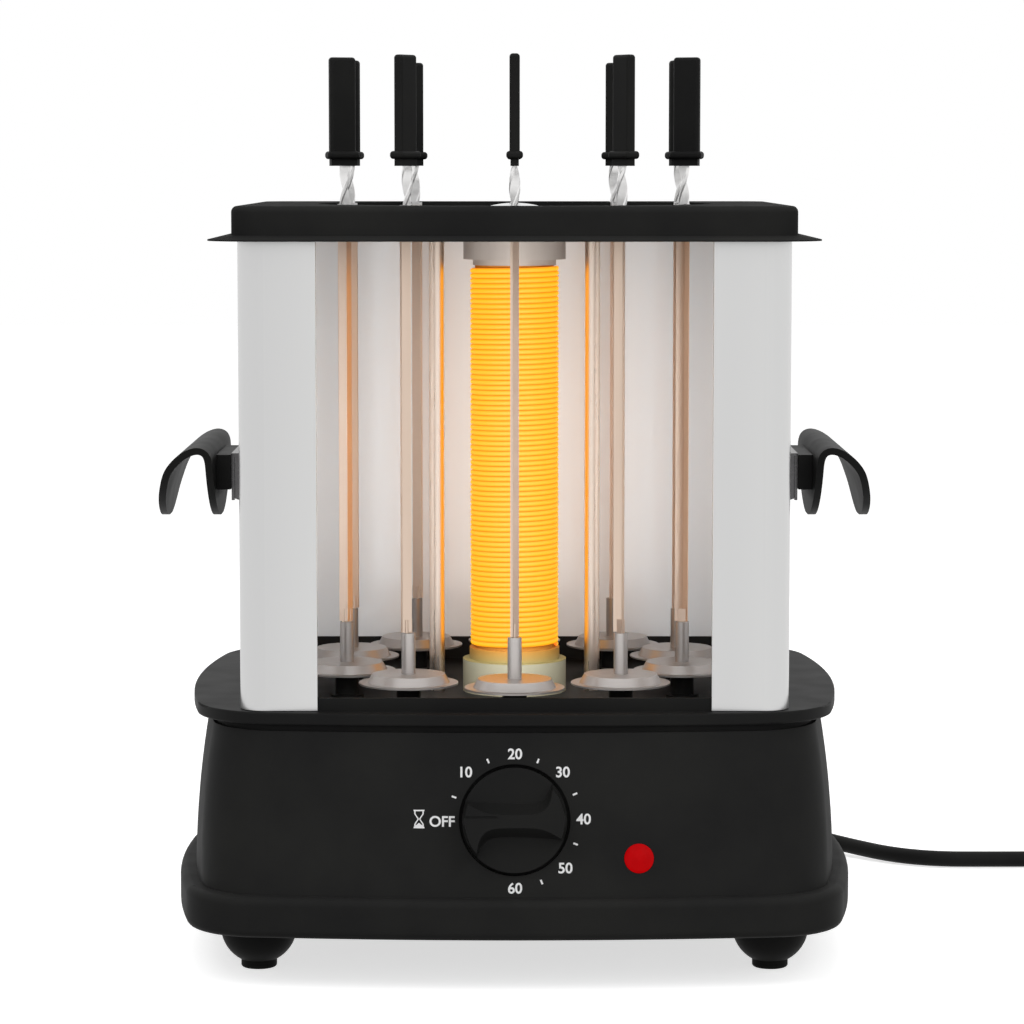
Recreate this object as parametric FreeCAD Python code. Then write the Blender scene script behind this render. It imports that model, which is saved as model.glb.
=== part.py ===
import FreeCAD, Part

# An electric skewer grill. Ten skewers stand in a ring round an upright glowing heater, between a
# drip tray and a lid, and a motor in the base turns them through gears. Two steel half-shells with
# handles stand round the ring and pull off sideways.
# Millimetres, +Z up. The origin is on the table under the heater's axis, and the front faces -Y.

import math
import os

from FreeCAD import Placement, Rotation, Vector

os.makedirs("parts", exist_ok=True)

# Clearances
FREE_GAP = 0.3           # between pieces that pass each other
RUN_GAP = 0.1            # round a shaft in its bush, and under its shoulder
SLOT_GAP = 0.15          # round a skewer's tang in its sleeve
SCREW_GAP = 0.05         # round a screw's shank or another piece pressed into its hole

# Gear train
GEAR_MODULE = 1.5
SUN_TEETH = 80
PINION_TEETH = 20
MOTOR_TEETH = 18
PRESSURE_ANGLE = math.radians(20)
BACKLASH = 0.25
FLANK_STEPS = 3
SUN_THICKNESS = 8.5
PINION_THICKNESS = 4
MOTOR_PINION_THICKNESS = 3.8
SUN_BORE = 60
SUN_HOLES = 6
SUN_HOLE_DIAMETER = 14
MOTOR_BEARING = 72       # degrees from +X, half-way between two skewers at the back

# Skewers
SKEWER_COUNT = 10
BLADE_WIDTH = 5.6        # across the folded blade, pointing at the heater
BLADE_DEPTH = 3.6
BLADE_THICKNESS = 1.0
TANG_WIDTH = 4.2
TANG_THICKNESS = 1.6
TANG_LENGTH = 20
TWIST_WIDTH = 4.4
TWIST_THICKNESS = 2.0
TWIST_TURN = 180         # degrees
TWIST_STEPS = 10
HANDLE_WIDTH = 11.2
HANDLE_THICKNESS = 4.2
HANDLE_LENGTH = 39.2
HANDLE_EDGE = 1.4
HANDLE_OFFSET = 1.1      # of the handle outward from the blade's axis
COLLAR_OVERHANG = 1.3
COLLAR_HEIGHT = 3.3
COLLAR_EDGE = 1.4
NECK_INSET = 0.4
NECK_HEIGHT = 2.8
HANDLE_RISE = 16         # of the handle's foot above the lid

# Spindles, which carry the skewers
SLEEVE_DIAMETER = 5.8
SLEEVE_HEIGHT = 17.1
DISH_DIAMETER = 41.3
DISH_CONE_DIAMETER = 34.2
DISH_TOP_DIAMETER = 30.4
DISH_HEIGHT = 4.2
DISH_SHEET = 0.7
DISH_RISE = 11.3         # of the dish's flange above the tray's floor
HUB_DIAMETER = 9
BUSH_WALL = 2
BUSH_FLANGE = 2
BUSH_FLANGE_THICKNESS = 1.5
BUSH_CLEARANCE = 0.9     # between a bush's top and its dish

# Base
FOOT_BALL_DIAMETER = 32
FOOT_BALL_RISE = 1.5
FOOT_SPACING_X = 214
FOOT_SPACING_Y = 120
PAD_DIAMETER = 15
PAD_HEIGHT = 3.6
PAD_EDGE = 1.2
PAN_BOTTOM = 22.5
PAN_WIDTH = 286.4
PAN_DEPTH = 235
PAN_HEIGHT = 17
PAN_EDGE = 3.5
PAN_WALL = 2.5
SIDE_BOW_RADIUS = 450
FRONT_BOW_RADIUS = 900
BASE_CORNER_RADIUS = 32
PAN_LEDGE_X = 6.7        # the pan's ledge outside the housing's foot, at each side
PAN_LEDGE_Y = 4.5        # and at the front and back
WAIST_TAPER = 1.9        # of each side, from the housing's foot to half its height
TOP_TAPER_X = 6.75       # of each side, from the housing's foot to its top
TOP_TAPER_Y = 8.38       # of the front and back
BODY_HEIGHT = 68.9
BODY_WALL = 2.5
SHADOW_GAP_HEIGHT = 2.7  # of the groove round the housing's top, under the rim
SHADOW_GAP_DEPTH = 1.3
BOSS_DIAMETER = 10
BOSS_X = 100
BOSS_Y = 78

# Drip tray
RIM_OVERHANG_X = 7.4     # of the rim past the housing's top, at each side
RIM_OVERHANG_Y = 6.4     # and at the front and back
RIM_SET_BACK = 4         # of the rim's middle behind the housing's
RIM_CORNER_RADIUS = 38
RIM_THICKNESS = 5
RIM_TOP_EDGE = 0.7
RIM_LOWER_EDGE = 1
UPSTAND_HEIGHT = 5.4     # above the rim
UPSTAND_WALL = 1.2
DISH_MARGIN = 0.4        # between a dish and the upstand's inner face
TRAY_FLOOR_DROP = 10.6   # from the upstand's top to the floor
TRAY_FLOOR_THICKNESS = 2
WELL_CORNER_RADIUS = 28  # of the recessed floor, which hangs inside the housing
WIRE_HOLE_DIAMETER = 24

# Half-shells and lid
SHELL_WIDTH = 224
SHELL_CORNER_RADIUS = 11
SHELL_SHEET = 0.8
SHELL_HEIGHT = 189.8
SHELL_HEM = 4
FRONT_OPENING = 160
CROWN_MARGIN = 2.4
BRIM_OVERHANG = 9.6
BRIM_EDGE = 0.6
BRIM_SLOPE = 1.6
LID_HEIGHT = 14
LID_PLATE = 4.5
LID_LEDGE = 2.5
LID_EDGE = 2.5
LID_RECESS_MARGIN = 8.7
LID_RECESS_DEPTH = 2
CAP_NUT_DIAMETER = 28
CAP_NUT_HEIGHT = 2.3
CAP_STUD_DIAMETER = 8
CAP_STUD_LENGTH = 9

# Side handles
GRIP_THICKNESS = 3
GRIP_RADIUS = 64.7       # of the round outline seen from the side
GRIP_CENTRE_RISE = 64.4  # of that outline's centre above the grip's foot
GRIP_FOOT = 184.9
GRIP_BLOCK_LENGTH = 54
GRIP_BLOCK_RISE = 12.6   # of the block's underside above the grip's foot
GRIP_BLOCK_HEIGHT = 14.7
GRIP_BLOCK_DEPTH = 7
# The arch's middle line: distance from the bracket, height above the grip's foot.
GRIP_ARCH = [(29.3, 0), (28.9, 5), (28.1, 10.5), (26.8, 15.7), (24.8, 21.1), (21.8, 25.2),
             (17.8, 28.7), (14, 30.6), (10.8, 30.9), (8.7, 29.8), (7.6, 27.5), (7.25, 23.5),
             (7.25, 18), (7.25, 12), (7.25, 6), (7.25, 0)]
BRACKET_STAND_OFF = 8.1
BRACKET_SHEET = 1.2
BRACKET_LENGTH = 44
BRACKET_TAB = 8
BRACKET_LIP = 1.5        # of the web past the side flanges
BRACKET_CORNER = 3.5
BRACKET_SLOT_WIDTH = 0.7
BRACKET_SLOT_HEIGHT = 2.2
BRACKET_SLOT_RISES = [3, 12]
BRACKET_DROP = 5         # of the bracket's foot below the block
BRACKET_RISE = 0.3       # of its top above the block

# Heater
HEATER_BASE_DIAMETER = 44.5
HEATER_BASE_HEIGHT = 14
HEATER_COLLAR_DIAMETER = 38.8
HEATER_COLLAR_HEIGHT = 5
HEATER_CORE_DIAMETER = 33.8
HEATER_CORE_BORE = 20
COIL_DIAMETER = 38
COIL_WIRE = 1.9
COIL_SPACING = 2.15      # between turns, rounded to whole turns
RIB_RISE_SHARE = 0.3     # of a turn's pitch, on each flank of its rib
HOLDER_DIAMETER = 43.8
HOLDER_CUP_HEIGHT = 19.14
HOLDER_NECK_DIAMETER = 35.6
HOLDER_NECK_HEIGHT = 2.5
HOLDER_PLATE = 4         # over the core, threaded for the lid's nut
POST_DIAMETER = 6.6
POST_SPACING = 66.8

# Front panel
KNOB_RISE = 70.8         # of the knob's axis above the table, at the panel's face
KNOB_DIAMETER = 42.4
KNOB_GROOVE = 1.4
KNOB_DISC = 2
KNOB_HEIGHT = 10
KNOB_SINK = 5
# Half of the knob's grip bar, from the pointer's end: distance along, half-width at its foot and
# half-width at its face. The other half is the same turned by half a turn.
BAR_UPPER_LINE = [(-24, 9.4, 8.6), (-18.7, 7.7, 6.8), (-14.1, 7.4, 4.4), (-8.9, 7.1, 2.9),
                  (-1.7, 6.8, 2.6), (6.6, 6.9, 2.8), (11.3, 8.2, 4.1), (13.6, 10.8, 6.6),
                  (15, 14, 11.4), (16, 18, 16)]
KNOB_FACE_TAPER = 1.2
POINTER_WIDTH = 0.9
POINTER_LENGTH = 13
POINTER_DEPTH = 0.6
POINTER_RISE = 1.7       # above the knob's middle
CUP_WALL = 1.8
TIMER_SHAFT_DIAMETER = 6
TIMER_SHAFT_DEPTH = 14
TIMER_SIZE = 42
TIMER_DEPTH = 26
LAMP_X = 50.3
LAMP_RISE = 55.2
LAMP_DIAMETER = 11.9
LAMP_BARREL_DIAMETER = 10
LAMP_BARREL_DEPTH = 14
LAMP_DOME = 2.4
LAMP_SINK = 0.8

# Gear plate and motor
PLATE_RADIUS = 92
PLATE_THICKNESS = 2
PLATE_DROP = 11          # from the tray floor's underside to the plate's top
PILLAR_DIAMETER = 7
PILLAR_CIRCLE = 88
MOTOR_DIAMETER = 50
MOTOR_HEIGHT = 21
MOTOR_SHAFT_DIAMETER = 5
MOTOR_SHAFT_OFFSET = 12
MOTOR_SHAFT_DEPTH = 8

# Screws
SCREW_DIAMETER = 3
SCREW_HEAD_DIAMETER = 6
SCREW_HEAD_HEIGHT = 2
SCREW_LENGTH = 9
CASE_SCREW_LENGTH = 26

# Cord, its gland, its coil and its plug
CORD_DIAMETER = 7.4
GLAND_X = 70
GLAND_RISE = 31
GLAND_LENGTH = 22
GLAND_FOOT_DIAMETER = 15
GLAND_TIP_DIAMETER = 10
GLAND_NECK_LENGTH = 6    # through the pan's back wall
CORD_ROUTE = [(70, 160, 31), (83.5, 193, 22.5), (120.5, 208, 12.5), (157, 190, 5), (190, 154.5, 4),
              (238, 154, 4), (285, 156, 4), (330, 160, 4)]
COIL_RADIUS = 40
COIL_STACK = 3           # turns, one on another
COIL_EDGE = 3
TAIL_ROUTE = [(370, 200, 18.5), (371, 237, 11), (377, 270, 11)]
ARC_SHARE = 0.45
PLUG_LENGTH = 34
PLUG_WIDTH = 30
PLUG_HEIGHT = 22
PLUG_BOOT_LENGTH = 24
PLUG_PIN_DIAMETER = 4.8
PLUG_PIN_LENGTH = 19
PLUG_PIN_SPACING = 19
PLUG_EDGE = 5.5
PLUG_BOOT_FOOT = 18
PLUG_BOOT_TIP = 9.4
PLUG_OVERLAP = 1         # of boot and pins into the body

# Levels and places that follow from the sizes above
SKEWER_CIRCLE = GEAR_MODULE * (SUN_TEETH + PINION_TEETH) / 2
PAN_TOP = PAN_BOTTOM + PAN_HEIGHT
BODY_FOOT_WIDTH = PAN_WIDTH - 2 * PAN_LEDGE_X
BODY_FOOT_DEPTH = PAN_DEPTH - 2 * PAN_LEDGE_Y
BODY_WAIST_WIDTH = BODY_FOOT_WIDTH - 2 * WAIST_TAPER
BODY_TOP_WIDTH = BODY_FOOT_WIDTH - 2 * TOP_TAPER_X
BODY_TOP_DEPTH = BODY_FOOT_DEPTH - 2 * TOP_TAPER_Y
RIM_WIDTH = BODY_TOP_WIDTH + 2 * RIM_OVERHANG_X
RIM_DEPTH = BODY_TOP_DEPTH + 2 * RIM_OVERHANG_Y
BODY_TOP = PAN_TOP + BODY_HEIGHT
RIM_TOP = BODY_TOP + RIM_THICKNESS
UPSTAND_TOP = RIM_TOP + UPSTAND_HEIGHT
TRAY_FLOOR = UPSTAND_TOP - TRAY_FLOOR_DROP
TRAY_UNDERSIDE = TRAY_FLOOR - TRAY_FLOOR_THICKNESS
PLATE_TOP = TRAY_UNDERSIDE - PLATE_DROP
PLATE_BOTTOM = PLATE_TOP - PLATE_THICKNESS
SUN_BOTTOM = PLATE_TOP + FREE_GAP
SUN_TOP = SUN_BOTTOM + SUN_THICKNESS
DISH_BOTTOM = TRAY_FLOOR + DISH_RISE
BUSH_RISE = DISH_RISE - BUSH_CLEARANCE
DISH_TOP = DISH_BOTTOM + DISH_HEIGHT
SLEEVE_TOP = DISH_TOP + SLEEVE_HEIGHT
HUB_BORE = SLEEVE_DIAMETER + 2 * RUN_GAP
DISH_REACH = SKEWER_CIRCLE + DISH_DIAMETER / 2 + DISH_MARGIN
WALLS = UPSTAND_WALL + FREE_GAP + SHELL_SHEET
SHELL_DEPTH = 2 * (DISH_REACH + WALLS)
SHELL_BOTTOM = RIM_TOP + FREE_GAP
SHELL_TOP = SHELL_BOTTOM + SHELL_HEIGHT
LID_BOTTOM = SHELL_TOP + FREE_GAP
LID_TOP = LID_BOTTOM + LID_HEIGHT
LID_CEILING = LID_TOP - LID_PLATE
LID_RECESS_FLOOR = LID_TOP - LID_RECESS_DEPTH
HANDLE_BOTTOM = LID_TOP + HANDLE_RISE
BLADE_SWEEP = math.hypot(BLADE_WIDTH, BLADE_DEPTH) / 2
COIL_BOTTOM = TRAY_FLOOR + HEATER_BASE_HEIGHT + HEATER_COLLAR_HEIGHT
GRIP_BLOCK_BOTTOM = GRIP_FOOT + GRIP_BLOCK_RISE
GRIP_BLOCK_TOP = GRIP_BLOCK_BOTTOM + GRIP_BLOCK_HEIGHT
BRACKET_BOTTOM = GRIP_BLOCK_BOTTOM - BRACKET_DROP
BRACKET_TOP = GRIP_BLOCK_TOP + BRACKET_RISE
COIL_TOP = LID_CEILING - HOLDER_CUP_HEIGHT - HOLDER_NECK_HEIGHT - FREE_GAP
COIL_TURNS = round((COIL_TOP - COIL_BOTTOM) / COIL_SPACING)
COIL_PITCH = (COIL_TOP - COIL_BOTTOM) / COIL_TURNS
HOLDER_ROOF = LID_CEILING - HOLDER_PLATE
QUADRANTS = [(1, 1), (-1, 1), (-1, -1), (1, -1)]
DRAFT = math.atan(TOP_TAPER_Y / BODY_HEIGHT)


def rod(diameter, bottom, height, x=0, y=0):
    return Part.makeCylinder(diameter / 2, height, Vector(x, y, bottom))


def tube(outer, inner, bottom, height, x=0, y=0):
    return rod(outer, bottom, height, x, y).cut(rod(inner, bottom, height, x, y))


def block(x_size, y_size, z_size, x=0, y=0, bottom=0):
    """A box centred on (x, y) that stands on a level."""
    return Part.makeBox(x_size, y_size, z_size, Vector(x - x_size / 2, y - y_size / 2, bottom))


def fuse(pieces):
    return pieces[0].multiFuse(pieces[1:]).removeSplitter()


def upright(shape):
    return [e for e in shape.Edges if abs(e.tangentAt(e.FirstParameter).z) > 0.999]


def level_edges(shape, level):
    return [e for e in shape.Edges if abs(e.BoundBox.ZMin - level) < 0.01 and e.BoundBox.ZLength < 0.01]


def rounded_block(width, depth, corner, bottom, height):
    shape = block(width, depth, height, bottom=bottom)
    return shape.makeFillet(corner, upright(shape))


def floor_wire(width, depth, corner, level):
    """The outline of a rounded block's floor."""
    shape = rounded_block(width, depth, corner, level, 1)
    return [f for f in shape.Faces if f.BoundBox.ZMax < level + 0.01][0].OuterWire


def bowed_wire(width, depth, corner, level):
    """A closed outline whose four sides bow outward and whose corners are round."""
    side_centre = Vector(width / 2 - SIDE_BOW_RADIUS, 0, 0)
    back_centre = Vector(0, depth / 2 - FRONT_BOW_RADIUS, 0)
    side_reach = SIDE_BOW_RADIUS - corner
    back_reach = FRONT_BOW_RADIUS - corner
    span = back_centre.sub(side_centre)
    along = (side_reach**2 - back_reach**2 + span.Length**2) / (2 * span.Length)
    across = math.sqrt(side_reach**2 - along**2)
    unit = span / span.Length
    centre = side_centre + unit * along + Vector(-unit.y, unit.x, 0) * across
    side = side_centre + (centre - side_centre) * (SIDE_BOW_RADIUS / side_reach)
    back = back_centre + (centre - back_centre) * (FRONT_BOW_RADIUS / back_reach)
    outward = side + back - centre * 2
    middle = centre + outward * (corner / outward.Length)

    def at(point, sx, sy):
        return Vector(sx * point.x, sy * point.y, level)

    edges = []
    for turn, (sx, sy) in enumerate(QUADRANTS):
        nx, ny = QUADRANTS[(turn + 1) % 4]
        if turn % 2 == 0:
            ends, bow, far = (side, back), Vector(0, sy * depth / 2, level), back
        else:
            ends, bow, far = (back, side), Vector(sx * width / 2, 0, level), side
        start, end = at(ends[0], sx, sy), at(ends[1], sx, sy)
        edges.append(Part.Arc(start, at(middle, sx, sy), end).toShape())
        edges.append(Part.Arc(end, bow, at(far, nx, ny)).toShape())
    return Part.Wire(edges)


def bowed_block(width, depth, corner, bottom, height):
    return Part.Face(bowed_wire(width, depth, corner, bottom)).extrude(Vector(0, 0, height))


def ring_places(count=SKEWER_COUNT, radius=SKEWER_CIRCLE):
    """Each skewer's bearing in degrees from +X and its place, the front one first, anticlockwise."""
    places = []
    for index in range(count):
        bearing = -90 + 360 / count * index
        turn = math.radians(bearing)
        places.append((bearing, radius * math.cos(turn), radius * math.sin(turn)))
    return places


def ring_copies(shape, places):
    """Copies of a shape built on the Z axis with its outward side at +X, one at each place."""
    copies = []
    for bearing, x, y in places:
        copy = shape.copy()
        copy.Placement = Placement(Vector(x, y, 0), Rotation(Vector(0, 0, 1), bearing))
        copies.append(copy)
    return copies


def involute(angle):
    return math.tan(angle) - angle


def gear(teeth, bottom, thickness, gap_bearing):
    """A spur gear on the Z axis, with the middle of a gap between two teeth at gap_bearing."""
    pitch_radius = GEAR_MODULE * teeth / 2
    base_radius = pitch_radius * math.cos(PRESSURE_ANGLE)
    root_radius = pitch_radius - 1.25 * GEAR_MODULE
    tip_radius = pitch_radius + GEAR_MODULE
    foot_radius = max(base_radius, root_radius)
    half_pitch = (math.pi * GEAR_MODULE / 2 - BACKLASH / 2) / (2 * pitch_radius)
    flank = []
    for step in range(FLANK_STEPS + 1):
        radius = foot_radius + (tip_radius - foot_radius) * step / FLANK_STEPS
        roll = involute(math.acos(min(1, base_radius / radius)))
        flank.append((radius, half_pitch + involute(PRESSURE_ANGLE) - roll))
    flank.insert(0, (root_radius, flank[0][1]))
    points = []
    for tooth in range(teeth):
        middle = math.radians(gap_bearing) + 2 * math.pi * (tooth + 0.5) / teeth
        turns = [(radius, middle - half) for radius, half in flank]
        turns += [(radius, middle + half) for radius, half in reversed(flank)]
        points += [Vector(r * math.cos(a), r * math.sin(a), bottom) for r, a in turns]
    outline = Part.makePolygon(points + points[:1])
    return Part.Face(outline).extrude(Vector(0, 0, thickness))


def front_face(x, level):
    """The Y of the housing's front face, which bows outward and leans back."""
    share = (level - PAN_TOP) / BODY_HEIGHT
    half_depth = (BODY_FOOT_DEPTH + (BODY_TOP_DEPTH - BODY_FOOT_DEPTH) * share) / 2
    return -half_depth + FRONT_BOW_RADIUS - math.sqrt(FRONT_BOW_RADIUS**2 - x**2)


def on_panel(shape, x, level):
    """Puts a shape built along +Z on the front panel, with its Z pointing out of the panel."""
    placed = shape.copy()
    lean = Rotation(Vector(1, 0, 0), 90 - math.degrees(DRAFT))
    placed.Placement = Placement(Vector(x, front_face(x, level), level), lean)
    return placed


def cord_tube(points):
    """A cord of straight runs joined by tangent arcs. Each arc's radius is printed."""
    points = [Vector(*p) for p in points]
    edges, start = [], points[0]
    for before, corner, after in zip(points, points[1:], points[2:]):
        arrive, leave = corner - before, after - corner
        half_turn = arrive.getAngle(leave) / 2
        cut = ARC_SHARE * min(arrive.Length, leave.Length)
        radius = cut / math.tan(half_turn)
        first = corner - arrive * (cut / arrive.Length)
        last = corner + leave * (cut / leave.Length)
        inward = (first + last) / 2 - corner
        middle = corner + inward * ((radius / math.cos(half_turn) - radius) / inward.Length)
        edges += [Part.makeLine(start, first), Part.Arc(first, middle, last).toShape()]
        start = last
        print("cord arc radius %.1f" % radius)
    path = Part.Wire(edges + [Part.makeLine(start, points[-1])])
    section = Part.Wire(Part.makeCircle(CORD_DIAMETER / 2, points[0], points[1] - points[0]))
    swept = path.makePipeShell([section], True, False)
    area = math.pi * CORD_DIAMETER**2 / 4
    print("cord length %.1f, volume over section times length %.4f"
          % (path.Length, swept.Volume / (area * path.Length)))
    return swept


def revolved(profile):
    """A solid of revolution about Z from (radius, height) points."""
    points = [Vector(r, 0, z) for r, z in profile]
    return Part.Face(Part.makePolygon(points + points[:1])).revolve(Vector(), Vector(0, 0, 1), 360)


def corner_places(x, y):
    return [(sx * x, sy * y) for sx, sy in QUADRANTS]


# ---------------------------------------------------------------- base

def make_feet():
    centre = FOOT_BALL_RISE + FOOT_BALL_DIAMETER / 2
    balls, pads = [], []
    for x, y in corner_places(FOOT_SPACING_X / 2, FOOT_SPACING_Y / 2):
        ball = Part.makeSphere(FOOT_BALL_DIAMETER / 2, Vector(x, y, centre))
        kept = rod(FOOT_BALL_DIAMETER, PAD_HEIGHT, PAN_BOTTOM - PAD_HEIGHT, x, y)
        screw_hole = rod(SCREW_DIAMETER + 2 * SCREW_GAP, PAN_BOTTOM - SCREW_LENGTH,
                         SCREW_LENGTH, x, y)
        balls.append(ball.common(kept).cut(screw_hole))
        pad = rod(PAD_DIAMETER, 0, PAD_HEIGHT, x, y)
        pads.append(pad.makeFillet(PAD_EDGE, level_edges(pad, 0)))
    return Part.makeCompound(balls), Part.makeCompound(pads)


def make_pan():
    """The bottom pan: a floor and a skirt whose top ledge carries the housing."""
    outer = bowed_block(PAN_WIDTH, PAN_DEPTH, BASE_CORNER_RADIUS, PAN_BOTTOM, PAN_HEIGHT)
    outer = outer.makeFillet(PAN_EDGE, level_edges(outer, PAN_BOTTOM) + level_edges(outer, PAN_TOP))
    hollow = bowed_block(PAN_WIDTH - 2 * PAN_WALL, PAN_DEPTH - 2 * PAN_WALL,
                         BASE_CORNER_RADIUS - PAN_WALL, PAN_BOTTOM + PAN_WALL,
                         PAN_HEIGHT - 2 * PAN_WALL)
    mouth = bowed_block(BODY_FOOT_WIDTH - 2 * BODY_WALL, BODY_FOOT_DEPTH - 2 * BODY_WALL,
                        BASE_CORNER_RADIUS - BODY_WALL, PAN_TOP - 2 * PAN_WALL, 2 * PAN_WALL)
    pan = outer.cut(hollow.fuse(mouth))
    posts = [rod(BOSS_DIAMETER, PAN_BOTTOM + PAN_WALL, PAN_HEIGHT - PAN_WALL, x, y)
             for x, y in corner_places(BOSS_X, BOSS_Y)]
    pan = fuse([pan] + posts)
    shank = SCREW_DIAMETER + 2 * SCREW_GAP
    head = SCREW_HEAD_DIAMETER + 2 * SCREW_GAP
    for x, y in corner_places(BOSS_X, BOSS_Y):
        pan = pan.cut(rod(shank, PAN_BOTTOM, PAN_HEIGHT, x, y))
        pan = pan.cut(rod(head, PAN_BOTTOM, SCREW_HEAD_HEIGHT, x, y))
    for x, y in corner_places(FOOT_SPACING_X / 2, FOOT_SPACING_Y / 2):
        pan = pan.cut(rod(shank, PAN_BOTTOM, PAN_WALL, x, y))
    return pan.cut(gland_bore())


def make_housing():
    """The moulded body, with screw bosses, the knob's cup and the lamp's seat."""
    half = (BODY_FOOT_DEPTH + BODY_TOP_DEPTH) / 2
    waist = PAN_TOP + BODY_HEIGHT / 2

    def shell_loft(inset):
        sizes = [(BODY_FOOT_WIDTH, BODY_FOOT_DEPTH, PAN_TOP), (BODY_WAIST_WIDTH, half, waist),
                 (BODY_TOP_WIDTH, BODY_TOP_DEPTH, BODY_TOP)]
        wires = [bowed_wire(w - 2 * inset, d - 2 * inset, BASE_CORNER_RADIUS - inset, z)
                 for w, d, z in sizes]
        return Part.makeLoft(wires, True, False)

    outside = shell_loft(0)
    pieces = [outside.cut(shell_loft(BODY_WALL))]
    boss_height = TRAY_UNDERSIDE - PAN_TOP - FREE_GAP
    for x, y in corner_places(BOSS_X, BOSS_Y):
        pieces.append(rod(BOSS_DIAMETER, PAN_TOP, boss_height, x, y))
        rib_end = math.copysign(BODY_FOOT_DEPTH, y) / 2
        rib = block(BODY_WALL, abs(rib_end - y), boss_height, x, (y + rib_end) / 2, PAN_TOP)
        pieces.append(rib.common(outside))
    cup_radius = KNOB_DIAMETER / 2 + KNOB_GROOVE
    cup_depth = KNOB_SINK + FREE_GAP + CUP_WALL
    cup = rod(2 * (cup_radius + CUP_WALL), -cup_depth, 2 * cup_depth)
    pieces.append(on_panel(cup, 0, KNOB_RISE).common(outside))
    housing = fuse(pieces)
    recess = rod(2 * cup_radius, -KNOB_SINK - FREE_GAP, 4 * KNOB_SINK)
    shaft_hole = rod(TIMER_SHAFT_DIAMETER + 2 * FREE_GAP, -2 * cup_depth, 2 * cup_depth)
    housing = housing.cut(on_panel(recess.fuse(shaft_hole), 0, KNOB_RISE))
    seat = rod(LAMP_DIAMETER + 2 * SLOT_GAP, -LAMP_SINK, 4 * LAMP_SINK)
    barrel = rod(LAMP_BARREL_DIAMETER + 2 * SLOT_GAP, -2 * BODY_WALL, 3 * BODY_WALL)
    housing = housing.cut(on_panel(seat.fuse(barrel), LAMP_X, LAMP_RISE))
    for x, y in corner_places(BOSS_X, BOSS_Y):
        hole = rod(SCREW_DIAMETER + 2 * SCREW_GAP, PAN_TOP, CASE_SCREW_LENGTH, x, y)
        housing = housing.cut(hole)
    groove_foot = BODY_TOP - SHADOW_GAP_HEIGHT
    around = bowed_block(BODY_FOOT_WIDTH, BODY_FOOT_DEPTH, BASE_CORNER_RADIUS, groove_foot,
                         SHADOW_GAP_HEIGHT)
    kept = bowed_block(BODY_TOP_WIDTH - 2 * SHADOW_GAP_DEPTH, BODY_TOP_DEPTH - 2 * SHADOW_GAP_DEPTH,
                       BASE_CORNER_RADIUS - SHADOW_GAP_DEPTH, groove_foot, SHADOW_GAP_HEIGHT)
    return housing.cut(around.cut(kept))


def make_tray():
    """The drip tray: a rim on the housing, an upstand inside the shells and a lower floor."""
    rim = bowed_block(RIM_WIDTH, RIM_DEPTH, RIM_CORNER_RADIUS, BODY_TOP, RIM_THICKNESS)
    rim = rim.makeFillet(RIM_TOP_EDGE, level_edges(rim, RIM_TOP))
    rim = rim.makeFillet(RIM_LOWER_EDGE, level_edges(rim, BODY_TOP))
    rim.translate(Vector(0, RIM_SET_BACK, 0))
    inset = SHELL_SHEET + FREE_GAP
    width, depth = SHELL_WIDTH - 2 * inset, SHELL_DEPTH - 2 * inset
    corner = SHELL_CORNER_RADIUS - inset
    upstand = rounded_block(width, depth, corner, BODY_TOP, UPSTAND_TOP - BODY_TOP)
    well = rounded_block(width, depth, WELL_CORNER_RADIUS, TRAY_UNDERSIDE, RIM_TOP - TRAY_UNDERSIDE)
    pocket = rounded_block(width - 2 * UPSTAND_WALL, depth - 2 * UPSTAND_WALL,
                           WELL_CORNER_RADIUS - UPSTAND_WALL, TRAY_FLOOR, UPSTAND_TOP - TRAY_FLOOR)
    tray = fuse([rim, upstand, well]).cut(pocket)
    tray = tray.cut(rod(WIRE_HOLE_DIAMETER, TRAY_UNDERSIDE, TRAY_FLOOR_THICKNESS))
    bore = HUB_BORE + 2 * BUSH_WALL
    for _, x, y in ring_places():
        tray = tray.cut(rod(bore, TRAY_UNDERSIDE, TRAY_FLOOR_THICKNESS, x, y))
    return tray


# ---------------------------------------------------------------- spindles and gear train

def make_bushes():
    """Flanged bushes in the tray's floor, one round each spindle."""
    bushes = []
    outer = HUB_BORE + 2 * BUSH_WALL
    for _, x, y in ring_places():
        sleeve = rod(outer, TRAY_UNDERSIDE, TRAY_FLOOR_THICKNESS + BUSH_RISE, x, y)
        flange = rod(outer + 2 * BUSH_FLANGE, TRAY_FLOOR, BUSH_FLANGE_THICKNESS, x, y)
        bore = rod(HUB_BORE, TRAY_UNDERSIDE, TRAY_FLOOR_THICKNESS + BUSH_RISE, x, y)
        bushes.append(sleeve.fuse(flange).cut(bore))
    return Part.makeCompound(bushes)


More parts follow.
